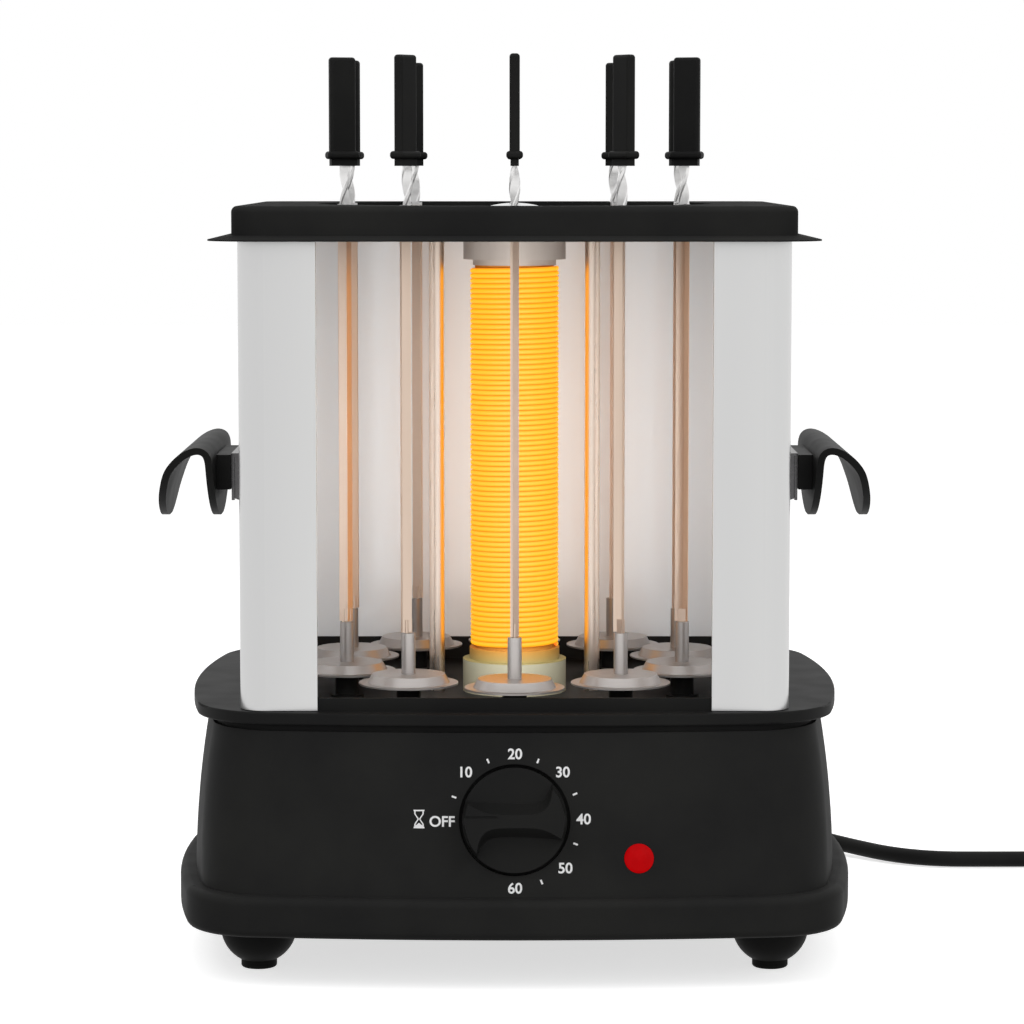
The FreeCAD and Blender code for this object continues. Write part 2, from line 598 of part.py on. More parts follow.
def make_spindle():
    """A drip dish and a blade sleeve on one shaft, with the pinion below. Outward is +X."""
    stem = SLEEVE_DIAMETER / 2
    hub_foot = TRAY_FLOOR + BUSH_RISE + RUN_GAP
    cone_run = (DISH_CONE_DIAMETER - DISH_TOP_DIAMETER) / 2
    inner_cone = DISH_CONE_DIAMETER / 2 - DISH_SHEET * cone_run / DISH_HEIGHT
    profile = [(0, PLATE_BOTTOM), (stem, PLATE_BOTTOM), (stem, hub_foot),
               (HUB_DIAMETER / 2, hub_foot), (HUB_DIAMETER / 2, DISH_TOP - DISH_SHEET),
               (DISH_TOP_DIAMETER / 2 - DISH_SHEET, DISH_TOP - DISH_SHEET),
               (inner_cone - DISH_SHEET, DISH_BOTTOM), (DISH_DIAMETER / 2, DISH_BOTTOM),
               (DISH_DIAMETER / 2, DISH_BOTTOM + DISH_SHEET),
               (DISH_CONE_DIAMETER / 2, DISH_BOTTOM + DISH_SHEET),
               (DISH_TOP_DIAMETER / 2, DISH_TOP), (stem, DISH_TOP), (stem, SLEEVE_TOP),
               (0, SLEEVE_TOP)]
    slot = block(TANG_WIDTH + 2 * SLOT_GAP, TANG_THICKNESS + 2 * SLOT_GAP, TANG_LENGTH + FREE_GAP,
                 bottom=SLEEVE_TOP - TANG_LENGTH - FREE_GAP)
    spindle = revolved(profile).cut(slot)
    pinion = gear(PINION_TEETH, SUN_TOP - PINION_THICKNESS, PINION_THICKNESS, 180)
    bore = rod(SLEEVE_DIAMETER + 2 * SCREW_GAP, SUN_TOP - PINION_THICKNESS, PINION_THICKNESS)
    return Part.makeCompound([spindle, pinion.cut(bore)])


def make_sun_gear():
    wheel = gear(SUN_TEETH, SUN_BOTTOM, SUN_THICKNESS, 180 / SUN_TEETH)
    wheel = wheel.cut(rod(SUN_BORE, SUN_BOTTOM, SUN_THICKNESS))
    web = (SUN_BORE / 2 + GEAR_MODULE * (SUN_TEETH / 2 - 1.25)) / 2
    for _, x, y in ring_places(SUN_HOLES, web):
        wheel = wheel.cut(rod(SUN_HOLE_DIAMETER, SUN_BOTTOM, SUN_THICKNESS, x, y))
    return wheel


def make_gear_plate():
    """The plate under the gears, with the sun gear's hub and four pillars up to the tray."""
    plate = rod(2 * PLATE_RADIUS, PLATE_BOTTOM, PLATE_THICKNESS)
    hub = rod(SUN_BORE - 2 * RUN_GAP, PLATE_TOP, SUN_TOP - PLATE_TOP)
    pillars = [rod(PILLAR_DIAMETER, PLATE_TOP, PLATE_DROP, x, y) for x, y in pillar_places()]
    solid = fuse([plate, hub] + pillars)
    solid = solid.cut(rod(WIRE_HOLE_DIAMETER, PLATE_BOTTOM, SUN_TOP - PLATE_BOTTOM))
    for _, x, y in ring_places():
        hole = rod(SLEEVE_DIAMETER + 2 * RUN_GAP, PLATE_BOTTOM, PLATE_THICKNESS, x, y)
        solid = solid.cut(hole)
    for x, y in pillar_places():
        hole = rod(SCREW_DIAMETER + 2 * SCREW_GAP, PLATE_BOTTOM, SCREW_LENGTH, x, y)
        solid = solid.cut(hole)
    x, y = motor_place()
    hole = rod(MOTOR_SHAFT_DIAMETER + 2 * FREE_GAP, PLATE_BOTTOM, PLATE_THICKNESS, x, y)
    return solid.cut(hole)


def pillar_places():
    step = 360 / SKEWER_COUNT
    bearings = [math.radians(sign * (90 - side * 1.5 * step)) for sign in (1, -1) for side in (1, -1)]
    return [(PILLAR_CIRCLE * math.cos(a), PILLAR_CIRCLE * math.sin(a)) for a in bearings]


def motor_place():
    centre = GEAR_MODULE * (SUN_TEETH + MOTOR_TEETH) / 2
    turn = math.radians(MOTOR_BEARING)
    return centre * math.cos(turn), centre * math.sin(turn)


def make_motor():
    """A flat gear motor under the plate, with its shaft off its middle."""
    x, y = motor_place()
    share = 1 - MOTOR_SHAFT_OFFSET / math.hypot(x, y)
    body = rod(MOTOR_DIAMETER, PLATE_BOTTOM - MOTOR_HEIGHT, MOTOR_HEIGHT, x * share, y * share)
    bore = rod(MOTOR_SHAFT_DIAMETER + 2 * RUN_GAP, PLATE_BOTTOM - MOTOR_SHAFT_DEPTH,
               MOTOR_SHAFT_DEPTH, x, y)
    return body.cut(bore)


def make_motor_pinion():
    x, y = motor_place()
    bottom = SUN_BOTTOM
    pinion = gear(MOTOR_TEETH, bottom, MOTOR_PINION_THICKNESS, MOTOR_BEARING + 180)
    foot = PLATE_BOTTOM - MOTOR_SHAFT_DEPTH + RUN_GAP
    solid = pinion.fuse(rod(MOTOR_SHAFT_DIAMETER, foot, bottom + MOTOR_PINION_THICKNESS - foot))
    solid.translate(Vector(x, y, 0))
    return solid


def make_screws():
    """Screws up into the plate's pillars and the case's bosses, and down into the feet."""
    screws = []

    def screw(x, y, seat, length, up):
        head = rod(SCREW_HEAD_DIAMETER, seat - (SCREW_HEAD_HEIGHT if up else 0),
                   SCREW_HEAD_HEIGHT, x, y)
        return head.fuse(rod(SCREW_DIAMETER, seat - (0 if up else length), length, x, y))

    reach = SCREW_LENGTH - 2 * SCREW_GAP
    for x, y in pillar_places():
        screws.append(screw(x, y, PLATE_BOTTOM, reach, True))
    for x, y in corner_places(FOOT_SPACING_X / 2, FOOT_SPACING_Y / 2):
        screws.append(screw(x, y, PAN_BOTTOM + PAN_WALL, reach, False))
    length = PAN_HEIGHT - SCREW_HEAD_HEIGHT + CASE_SCREW_LENGTH - 2 * SCREW_GAP
    for x, y in corner_places(BOSS_X, BOSS_Y):
        screws.append(screw(x, y, PAN_BOTTOM + SCREW_HEAD_HEIGHT, length, True))
    return Part.makeCompound(screws)


# ---------------------------------------------------------------- skewers

def rectangle_wire(width, depth, level, turn=0):
    corners = [Vector(sx * width / 2, sy * depth / 2, level) for sx, sy in QUADRANTS]
    wire = Part.makePolygon(corners + corners[:1])
    wire.rotate(Vector(0, 0, level), Vector(0, 0, 1), turn)
    return wire


def make_blade():
    """A folded strip with a flat tang in the sleeve and a twist between lid and handle."""
    half, fold, sheet = BLADE_WIDTH / 2, BLADE_DEPTH / 2, BLADE_THICKNESS
    bottom, top = SLEEVE_TOP + FREE_GAP, LID_TOP
    corners = [(-half, -fold), (0, fold - sheet), (half, -fold), (half, -fold + sheet),
               (0, fold), (-half, -fold + sheet)]
    points = [Vector(x, y, bottom) for x, y in corners]
    vee = Part.Face(Part.makePolygon(points + points[:1])).extrude(Vector(0, 0, top - bottom))
    tang = block(TANG_WIDTH, TANG_THICKNESS, TANG_LENGTH + FREE_GAP + BLADE_WIDTH,
                 bottom=SLEEVE_TOP - TANG_LENGTH)
    rise = HANDLE_RISE
    wires = [rectangle_wire(TWIST_WIDTH, TWIST_THICKNESS, top + rise * step / TWIST_STEPS,
                            TWIST_TURN * step / TWIST_STEPS) for step in range(TWIST_STEPS + 1)]
    twist = Part.makeLoft(wires, True, True)
    end = block(TWIST_WIDTH, TWIST_THICKNESS, NECK_HEIGHT, bottom=HANDLE_BOTTOM)
    return fuse([vee, tang, twist, end])


def make_handle():
    """A flat bar with a collar and a neck, wide towards the heater."""
    neck = block(HANDLE_WIDTH - 2 * NECK_INSET, HANDLE_THICKNESS - 2 * NECK_INSET, NECK_HEIGHT,
                 bottom=HANDLE_BOTTOM)
    collar = block(HANDLE_WIDTH + 2 * COLLAR_OVERHANG, HANDLE_THICKNESS + 2 * COLLAR_OVERHANG,
                   COLLAR_HEIGHT, bottom=HANDLE_BOTTOM + NECK_HEIGHT)
    collar = collar.makeFillet(COLLAR_EDGE, collar.Edges)
    bar = block(HANDLE_WIDTH, HANDLE_THICKNESS, HANDLE_LENGTH,
                bottom=HANDLE_BOTTOM + NECK_HEIGHT + COLLAR_HEIGHT)
    foot = bar.BoundBox.ZMin
    bar = bar.makeFillet(HANDLE_EDGE, [e for e in bar.Edges if e.BoundBox.ZMax > foot + 0.01])
    handle = fuse([neck, collar, bar])
    handle.translate(Vector(HANDLE_OFFSET, 0, 0))
    socket = block(TWIST_WIDTH + 2 * SCREW_GAP, TWIST_THICKNESS + 2 * SCREW_GAP, NECK_HEIGHT,
                   bottom=HANDLE_BOTTOM)
    return handle.cut(socket)


# ---------------------------------------------------------------- heater

def make_former():
    """The ceramic base, collar and core."""
    base = rod(HEATER_BASE_DIAMETER, TRAY_FLOOR, HEATER_BASE_HEIGHT)
    collar = rod(HEATER_COLLAR_DIAMETER, TRAY_FLOOR + HEATER_BASE_HEIGHT, HEATER_COLLAR_HEIGHT)
    core = rod(HEATER_CORE_DIAMETER, COIL_BOTTOM, HOLDER_ROOF - COIL_BOTTOM - FREE_GAP)
    bore = rod(HEATER_CORE_BORE, TRAY_FLOOR, LID_CEILING - TRAY_FLOOR)
    return fuse([base, collar, core]).cut(bore)


def make_heater_coil():
    """The glowing winding, with one rounded rib a turn."""
    inner = HEATER_CORE_DIAMETER / 2 + RUN_GAP
    outer = COIL_DIAMETER / 2
    valley = outer - COIL_WIRE / 2
    profile = [(inner, COIL_BOTTOM)]
    for turn in range(COIL_TURNS):
        start = COIL_BOTTOM + COIL_PITCH * turn
        profile += [(valley, start), (outer, start + COIL_PITCH * RIB_RISE_SHARE),
                    (outer, start + COIL_PITCH * (1 - RIB_RISE_SHARE))]
    profile += [(valley, COIL_TOP), (inner, COIL_TOP)]
    return revolved(profile)


def make_holder():
    """The steel cup that holds the heater's top end under the lid, with the nut's thread."""
    neck_bottom = COIL_TOP + FREE_GAP
    cup_bottom = neck_bottom + HOLDER_NECK_HEIGHT
    neck = rod(HOLDER_NECK_DIAMETER, neck_bottom, HOLDER_NECK_HEIGHT)
    cup = rod(HOLDER_DIAMETER, cup_bottom, HOLDER_CUP_HEIGHT)
    bore = rod(HEATER_CORE_DIAMETER + 2 * RUN_GAP, neck_bottom, HOLDER_ROOF - neck_bottom)
    thread = rod(CAP_STUD_DIAMETER + 2 * SCREW_GAP, HOLDER_ROOF, HOLDER_PLATE)
    return fuse([neck, cup]).cut(bore.fuse(thread))


def make_posts():
    height = LID_CEILING - TRAY_FLOOR
    return Part.makeCompound([rod(POST_DIAMETER, TRAY_FLOOR, height, side * POST_SPACING / 2)
                              for side in (-1, 1)])


# ---------------------------------------------------------------- lid and half-shells

def make_lid():
    """A crown with a sloping brim, open below, with a round recess and one hole a skewer."""
    width, depth = SHELL_WIDTH + 2 * CROWN_MARGIN, SHELL_DEPTH + 2 * CROWN_MARGIN
    corner = SHELL_CORNER_RADIUS + CROWN_MARGIN
    crown = rounded_block(width, depth, corner, LID_BOTTOM, LID_HEIGHT)
    crown = crown.makeFillet(LID_EDGE, level_edges(crown, LID_TOP))
    brim = rounded_block(width + 2 * BRIM_OVERHANG, depth + 2 * BRIM_OVERHANG,
                         corner + BRIM_OVERHANG, LID_BOTTOM, BRIM_EDGE)
    lower = floor_wire(width + 2 * BRIM_OVERHANG, depth + 2 * BRIM_OVERHANG,
                       corner + BRIM_OVERHANG, LID_BOTTOM + BRIM_EDGE)
    upper = floor_wire(width, depth, corner, LID_BOTTOM + BRIM_EDGE + BRIM_SLOPE)
    slope = Part.makeLoft([lower, upper], True, True)
    solid = fuse([crown, brim, slope])
    hollow = rounded_block(SHELL_WIDTH - 2 * LID_LEDGE, SHELL_DEPTH - 2 * LID_LEDGE,
                           SHELL_CORNER_RADIUS - LID_LEDGE, LID_BOTTOM, LID_CEILING - LID_BOTTOM)
    recess = rod(2 * (SKEWER_CIRCLE + LID_RECESS_MARGIN), LID_RECESS_FLOOR, LID_RECESS_DEPTH)
    solid = solid.cut(hollow).cut(recess)
    for _, x, y in ring_places():
        solid = solid.cut(rod(2 * (BLADE_SWEEP + FREE_GAP), LID_CEILING, LID_PLATE, x, y))
    return solid.cut(rod(CAP_STUD_DIAMETER + 2 * SCREW_GAP, LID_CEILING, LID_PLATE))


def make_cap_nut():
    """The low domed nut in the middle of the lid, on the stud that holds the heater's top."""
    radius = CAP_NUT_DIAMETER / 2
    dome_radius = (radius**2 + CAP_NUT_HEIGHT**2) / (2 * CAP_NUT_HEIGHT)
    ball = Part.makeSphere(dome_radius, Vector(0, 0, LID_RECESS_FLOOR + CAP_NUT_HEIGHT - dome_radius))
    dome = ball.common(rod(CAP_NUT_DIAMETER, LID_RECESS_FLOOR, CAP_NUT_HEIGHT))
    return dome.fuse(rod(CAP_STUD_DIAMETER, LID_RECESS_FLOOR - CAP_STUD_LENGTH, CAP_STUD_LENGTH))


def make_left_shell():
    """Half of the steel wall: front cheek with a hemmed edge, side and half of the back."""
    outer = rounded_block(SHELL_WIDTH, SHELL_DEPTH, SHELL_CORNER_RADIUS, SHELL_BOTTOM, SHELL_HEIGHT)
    inner = rounded_block(SHELL_WIDTH - 2 * SHELL_SHEET, SHELL_DEPTH - 2 * SHELL_SHEET,
                          SHELL_CORNER_RADIUS - SHELL_SHEET, SHELL_BOTTOM, SHELL_HEIGHT)
    wall = outer.cut(inner)
    half = SHELL_WIDTH / 2
    back = Part.makeBox(half - FREE_GAP / 2, half, SHELL_HEIGHT, Vector(-half, 0, SHELL_BOTTOM))
    cheek_width = half - FRONT_OPENING / 2
    front = Part.makeBox(cheek_width, half, SHELL_HEIGHT, Vector(-half, -half, SHELL_BOTTOM))
    hem_bottom = UPSTAND_TOP + FREE_GAP
    hem = Part.makeBox(SHELL_SHEET, SHELL_HEM, SHELL_TOP - hem_bottom,
                       Vector(-FRONT_OPENING / 2 - SHELL_SHEET, -SHELL_DEPTH / 2, hem_bottom))
    return fuse([wall.common(back), wall.common(front), hem])


def make_left_bracket():
    """A folded steel channel on the shell's side, which carries the handle."""
    face = -SHELL_WIDTH / 2
    web_x = face - BRACKET_STAND_OFF

    def plate(x0, x1, y0, y1, low=BRACKET_BOTTOM):
        return Part.makeBox(x1 - x0, y1 - y0, BRACKET_TOP - low, Vector(x0, y0, low))

    web_end = BRACKET_LENGTH / 2
    pieces = [plate(web_x, web_x + BRACKET_SHEET, -web_end, web_end),
              plate(web_x, face, -web_end, web_end, BRACKET_TOP - BRACKET_SHEET)]
    for side in (-1, 1):
        middle = side * (web_end - BRACKET_LIP - BRACKET_SHEET / 2)
        flange = plate(web_x, face, middle - BRACKET_SHEET / 2, middle + BRACKET_SHEET / 2)
        corner = [e for e in flange.Edges
                  if abs(e.BoundBox.ZMax - BRACKET_BOTTOM) < 0.01 and e.BoundBox.YLength > 0.01]
        flange = flange.makeFillet(BRACKET_CORNER, corner)
        for rise in BRACKET_SLOT_RISES:
            flange = flange.cut(block(BRACKET_SLOT_WIDTH * 2, BRACKET_SHEET, BRACKET_SLOT_HEIGHT,
                                      face, middle, BRACKET_BOTTOM + rise))
        pieces.append(flange)
        tab_end = middle + side * (BRACKET_SHEET / 2 + BRACKET_TAB)
        y0, y1 = sorted((middle, tab_end))
        tab = plate(face - BRACKET_SHEET, face, y0, y1, BRACKET_BOTTOM + BRACKET_CORNER)
        pieces.append(tab)
    return fuse(pieces)


def make_left_handle():
    """A saddle grip: an arch along Y, cut to a round outline, on a mounting block."""
    base = -SHELL_WIDTH / 2 - BRACKET_STAND_OFF
    width = 2 * GRIP_RADIUS
    line = [Vector(base - reach, -width / 2, GRIP_FOOT + rise) for reach, rise in GRIP_ARCH]
    arch = Part.BSplineCurve()
    arch.interpolate(line)
    path = Part.Wire([arch.toShape()])
    along = arch.tangent(arch.FirstParameter)[0]
    across = Vector(-along.z, 0, along.x) * (GRIP_THICKNESS / 2)
    corners = [line[0] - across, line[0] + across,
               line[0] + across + Vector(0, width, 0), line[0] - across + Vector(0, width, 0)]
    section = Part.makePolygon(corners + corners[:1])
    grip = path.makePipeShell([section], True, False)
    outline = Part.makeCylinder(GRIP_RADIUS, width, Vector(base - width, 0, GRIP_FOOT + GRIP_CENTRE_RISE),
                                Vector(1, 0, 0))
    mount = Part.makeBox(GRIP_BLOCK_DEPTH, GRIP_BLOCK_LENGTH, GRIP_BLOCK_HEIGHT,
                         Vector(base - GRIP_BLOCK_DEPTH, -GRIP_BLOCK_LENGTH / 2, GRIP_BLOCK_BOTTOM))
    return fuse([grip.common(outline), mount])


# ---------------------------------------------------------------- front panel

def bar_outline(column, level):
    """The grip bar's closed outline at a level, from one column of its half-widths."""
    upper = [Vector(row[0], row[column], level) for row in BAR_UPPER_LINE]
    lower = [Vector(-point.x, -point.y, level) for point in upper]
    edges = []
    for points in (upper, lower):
        curve = Part.BSplineCurve()
        curve.interpolate(points)
        edges.append(curve.toShape())
    ends = [Part.makeLine(upper[-1], lower[0]), Part.makeLine(lower[-1], upper[0])]
    return Part.Wire([edges[0], ends[0], edges[1], ends[1]])


def make_knob():
    """A disc with a scooped grip bar, a pointer notch towards -X and a shaft behind."""
    radius = KNOB_DIAMETER / 2
    disc = rod(KNOB_DIAMETER, -KNOB_SINK, KNOB_SINK + KNOB_DISC)
    bar = Part.makeLoft([bar_outline(1, KNOB_DISC), bar_outline(2, KNOB_HEIGHT)], True, True)
    around = Part.makeCone(radius, radius - KNOB_FACE_TAPER, KNOB_HEIGHT - KNOB_DISC,
                           Vector(0, 0, KNOB_DISC))
    notch = Part.makeBox(POINTER_LENGTH, POINTER_WIDTH, POINTER_DEPTH,
                         Vector(KNOB_FACE_TAPER - radius, POINTER_RISE - POINTER_WIDTH / 2,
                                KNOB_HEIGHT - POINTER_DEPTH))
    shaft = rod(TIMER_SHAFT_DIAMETER, -KNOB_SINK - TIMER_SHAFT_DEPTH, TIMER_SHAFT_DEPTH)
    return on_panel(fuse([disc, bar.common(around), shaft]).cut(notch), 0, KNOB_RISE)


def make_timer():
    """The clockwork timer behind the panel, with a bore for the knob's shaft."""
    front = -KNOB_SINK - FREE_GAP - CUP_WALL
    body = block(TIMER_SIZE, TIMER_SIZE, TIMER_DEPTH, bottom=front - TIMER_DEPTH)
    bore = rod(TIMER_SHAFT_DIAMETER + 2 * RUN_GAP, -KNOB_SINK - TIMER_SHAFT_DEPTH - FREE_GAP,
               TIMER_SHAFT_DEPTH)
    return on_panel(body.cut(bore), 0, KNOB_RISE)


def make_lamp():
    """The red lens, with its barrel through the panel."""
    radius = LAMP_DIAMETER / 2
    dome_radius = (radius**2 + LAMP_DOME**2) / (2 * LAMP_DOME)
    ball = Part.makeSphere(dome_radius, Vector(0, 0, LAMP_DOME - dome_radius))
    dome = ball.common(rod(LAMP_DIAMETER, 0, LAMP_DOME))
    collar = rod(LAMP_DIAMETER, -LAMP_SINK, LAMP_SINK)
    barrel = rod(LAMP_BARREL_DIAMETER, -LAMP_BARREL_DEPTH, LAMP_BARREL_DEPTH)
    return on_panel(fuse([dome, collar, barrel]), LAMP_X, LAMP_RISE)


# ---------------------------------------------------------------- cord

def gland_seat():
    """The Y of the pan's back face at the gland's inner edge, where the bow stands out most."""
    inner_edge = GLAND_X - GLAND_FOOT_DIAMETER / 2
    return PAN_DEPTH / 2 - FRONT_BOW_RADIUS + math.sqrt(FRONT_BOW_RADIUS**2 - inner_edge**2)


def along_y(diameter, start, length):
    return Part.makeCylinder(diameter / 2, length, Vector(GLAND_X, start, GLAND_RISE), Vector(0, 1, 0))


def gland_bore():
    start = gland_seat() - 3 * PAN_WALL
    return along_y(GLAND_TIP_DIAMETER + 2 * SCREW_GAP, start, 4 * PAN_WALL)


def make_gland():
    """A tapered strain relief with a neck through the pan's back wall."""
    seat = gland_seat() + SCREW_GAP
    cone = Part.makeCone(GLAND_FOOT_DIAMETER / 2, GLAND_TIP_DIAMETER / 2, GLAND_LENGTH,
                         Vector(GLAND_X, seat, GLAND_RISE), Vector(0, 1, 0))
    neck = along_y(GLAND_TIP_DIAMETER, seat - GLAND_NECK_LENGTH, GLAND_NECK_LENGTH)
    bore = along_y(CORD_DIAMETER, seat - GLAND_NECK_LENGTH, GLAND_NECK_LENGTH + GLAND_LENGTH)
    return cone.fuse(neck).cut(bore)


def coil_centre():
    return Vector(CORD_ROUTE[-1][0], CORD_ROUTE[-1][1] + COIL_RADIUS, 0)


def make_cord():
    """The cord from the gland to its coil, and from the coil to the plug."""
    start = (GLAND_X, gland_seat() + GLAND_LENGTH, GLAND_RISE)
    tail_end = TAIL_ROUTE[-1]
    return Part.makeCompound([cord_tube([start] + CORD_ROUTE), cord_tube(TAIL_ROUTE)])


def make_cord_coil():
    """The outer shape of the coiled cord: a ring of stacked turns."""
    centre = coil_centre()
    height = COIL_STACK * CORD_DIAMETER
    ring = tube(2 * COIL_RADIUS + CORD_DIAMETER, 2 * COIL_RADIUS - CORD_DIAMETER, 0, height,
                centre.x, centre.y)
    edges = level_edges(ring, 0) + level_edges(ring, height)
    return ring.makeFillet(COIL_EDGE, edges)


def make_plug():
    """A two-pin mains plug with a tapered boot, lying where the tail of the cord ends."""
    body = block(PLUG_WIDTH, PLUG_LENGTH, PLUG_HEIGHT, bottom=-PLUG_HEIGHT / 2)
    body.translate(Vector(0, PLUG_BOOT_LENGTH + PLUG_LENGTH / 2, 0))
    body = body.makeFillet(PLUG_EDGE, body.Edges)
    boot = Part.makeCone(PLUG_BOOT_TIP / 2, PLUG_BOOT_FOOT / 2, PLUG_BOOT_LENGTH + PLUG_OVERLAP,
                         Vector(), Vector(0, 1, 0))
    pin_start = PLUG_BOOT_LENGTH + PLUG_LENGTH - PLUG_OVERLAP
    pins = [Part.makeCylinder(PLUG_PIN_DIAMETER / 2, PLUG_PIN_LENGTH + PLUG_OVERLAP,
                              Vector(side * PLUG_PIN_SPACING / 2, pin_start, 0), Vector(0, 1, 0))
            for side in (-1, 1)]
    plug = fuse([body, boot] + pins)
    before, end = Vector(*TAIL_ROUTE[-2]), Vector(*TAIL_ROUTE[-1])
    heading = math.degrees(math.atan2(end.y - before.y, end.x - before.x)) - 90
    plug.Placement = Placement(end, Rotation(Vector(0, 0, 1), heading))
    return plug


# ---------------------------------------------------------------- output

def mirrored(shape):
    return shape.mirror(Vector(), Vector(1, 0, 0))


def save(name, shape):
    shape.exportStep("parts/%s.step" % name)


def save_all():
    balls, pads = make_feet()
    nodes = {
        "ball_feet": balls, "foot_pads": pads, "bottom_pan": make_pan(),
        "base_housing": make_housing(), "drip_tray": make_tray(),
        "spindle_bushes": make_bushes(), "gear_plate": make_gear_plate(),
        "gear_motor": make_motor(), "screws": make_screws(), "heater_former": make_former(),
        "heater_coil": make_heater_coil(), "heater_top_holder": make_holder(),
        "support_posts": make_posts(), "lid": make_lid(), "lid_cap_nut": make_cap_nut(),
        "timer_body": make_timer(), "lamp_lens": make_lamp(), "cord_gland": make_gland(),
        "cord": make_cord(), "cord_coil": make_cord_coil(), "plug": make_plug(),
        "timer_knob": make_knob(), "sun_gear": make_sun_gear(), "motor_pinion": make_motor_pinion(),
    }
    left = {"shell": make_left_shell(), "bracket": make_left_bracket(), "handle": make_left_handle()}
    for piece, shape in left.items():
        nodes["left_" + piece] = shape
        nodes["right_" + piece] = mirrored(shape)
    rings = {"spindle": make_spindle(), "skewer_blade": make_blade(), "skewer_handle": make_handle()}
    for piece, shape in rings.items():
        for index, copy in enumerate(ring_copies(shape, ring_places()), 1):
            nodes["%s_%02d" % (piece, index)] = copy
    for name, shape in nodes.items():
        save(name, shape)


save_all()
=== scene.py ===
import math

import bpy
from mathutils import Matrix, Vector
from mathutils.bvhtree import BVHTree


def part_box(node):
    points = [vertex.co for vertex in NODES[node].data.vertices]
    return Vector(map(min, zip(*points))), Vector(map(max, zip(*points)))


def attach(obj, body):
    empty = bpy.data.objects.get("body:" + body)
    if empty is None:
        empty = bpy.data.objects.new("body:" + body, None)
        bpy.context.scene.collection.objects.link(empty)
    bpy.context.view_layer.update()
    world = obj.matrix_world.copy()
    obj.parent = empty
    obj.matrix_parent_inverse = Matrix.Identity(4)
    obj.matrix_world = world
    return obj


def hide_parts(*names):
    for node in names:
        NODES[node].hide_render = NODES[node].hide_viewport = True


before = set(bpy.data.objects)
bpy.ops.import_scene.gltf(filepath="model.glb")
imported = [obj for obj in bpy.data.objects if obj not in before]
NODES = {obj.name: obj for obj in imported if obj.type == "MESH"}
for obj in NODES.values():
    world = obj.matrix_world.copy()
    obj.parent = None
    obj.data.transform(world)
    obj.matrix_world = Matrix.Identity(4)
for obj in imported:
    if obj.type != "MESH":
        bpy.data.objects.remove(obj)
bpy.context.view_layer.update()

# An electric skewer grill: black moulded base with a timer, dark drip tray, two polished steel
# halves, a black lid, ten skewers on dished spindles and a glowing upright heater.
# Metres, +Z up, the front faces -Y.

MM = 0.001

# The picture and its camera, in pixels and metres
PICTURE_SIZE = 1024
FOCAL_LENGTH_PX = 3629.1
CAMERA_PLACE = Vector((-1.07, -1556.2, 334.5)) * MM
CAMERA_DOWN = math.radians(5.474)
SENSOR_WIDTH = 36.0

# Sizes that the CAD has too
SKEWER_COUNT = 10
SKEWER_CIRCLE = 75 * MM
BLADE_WIDTH = 5.6 * MM
BLADE_DEPTH = 3.6 * MM
BLADE_THICKNESS = 1.0 * MM
TANG_WIDTH = 4.2 * MM
TANG_THICKNESS = 1.6 * MM
TWIST_WIDTH = 4.4 * MM
TWIST_THICKNESS = 2.0 * MM
TWIST_EDGE = 0.45 * MM
TWIST_STEPS = 40
WIRE_PITCH = 2.16 * MM
WIRE_STEPS = 60          # along each turn of the heater's winding
WIRE_SIDES = 8
WIRE_RADIUS = 0.95 * MM
COLLAR_FOOT = 121.9 * MM  # where the heater's ceramic foot ends and its collar starts
CORD_DIAMETER = 7.4 * MM
CORD_ROUTE = [(70, 135.9, 31), (70, 160, 31), (83.5, 193, 22.5), (120.5, 208, 12.5), (157, 190, 5),
              (190, 154.5, 4), (238, 154, 4), (285, 156, 4)]
COIL_CENTRE = (330, 200)
COIL_RADIUS = 40
COIL_TURNS = 2.25
COIL_POINTS = 16         # for each turn
COIL_FOOT = 4
CLIMB_START, CLIMB_END = 0.72, 0.92    # where each turn climbs on to the one below, as a share
TAIL_ROUTE = [(371, 237, 12), (377, 270, 11)]

# The print round the knob, each placed by its middle in the picture's pixels
WORDS = {"OFF": (442, 822), "10": (465, 772.6), "20": (515, 754.5), "30": (562.7, 772.6),
         "40": (583.7, 819.6), "50": (565.3, 868.6), "60": (515, 888.8)}
PRINT_LIFT = 0.08 * MM
PRINT_SIZE = 5.9 * MM    # the height of the font's body
PRINT_WEIGHT = 0.13 * MM
HOURGLASS = (419, 819)
HOURGLASS_SIZE = (4.4 * MM, 7.4 * MM)
HOURGLASS_LINE = 0.55 * MM
TICKS = [(454, 797), (488, 761), (538, 761), (575, 794), (575.6, 844), (541.6, 882)]
TICK_LENGTH = 1.9 * MM
TICK_WIDTH = 0.75 * MM
PANEL_POINT = (0.08, 0.07)    # an (x, z) on plain panel, where the search for a pixel starts

# The studio
WORLD_LIGHT = 0.45
FLOOR_WIDTH = 12
FLOOR_LIFT = 0.66             # light that brings the lit floor up to white for the camera
LAMP_TARGET = (0, 0, 0.2)
LAMPS = (                     # name, place, width and height in metres, watts
    ("key", (-0.9, -1.3, 1.7), 1.0, 1.0, 12),
    ("fill", (1.1, -1.2, 1.4), 0.9, 1.2, 10),
    ("front", (0, -1.9, 0.8), 1.4, 0.8, 6),
    ("top", (0, 0.1, 1.6), 1.2, 1.2, 6),
)
CHAMBER_LAMP = ("chamber", (0, -95 * MM, 0.21), (0, 0, 0.21), 0.15, 0.17, 0.48)
GLOW_POWER = 0.02
GLOW_GAP = 4 * MM             # from the winding to each lamp that helps its glow
GLOW_WIDTH = 30 * MM
GLOW_COLOUR = (1, 0.42, 0.12)


# ---------------------------------------------------------------- materials

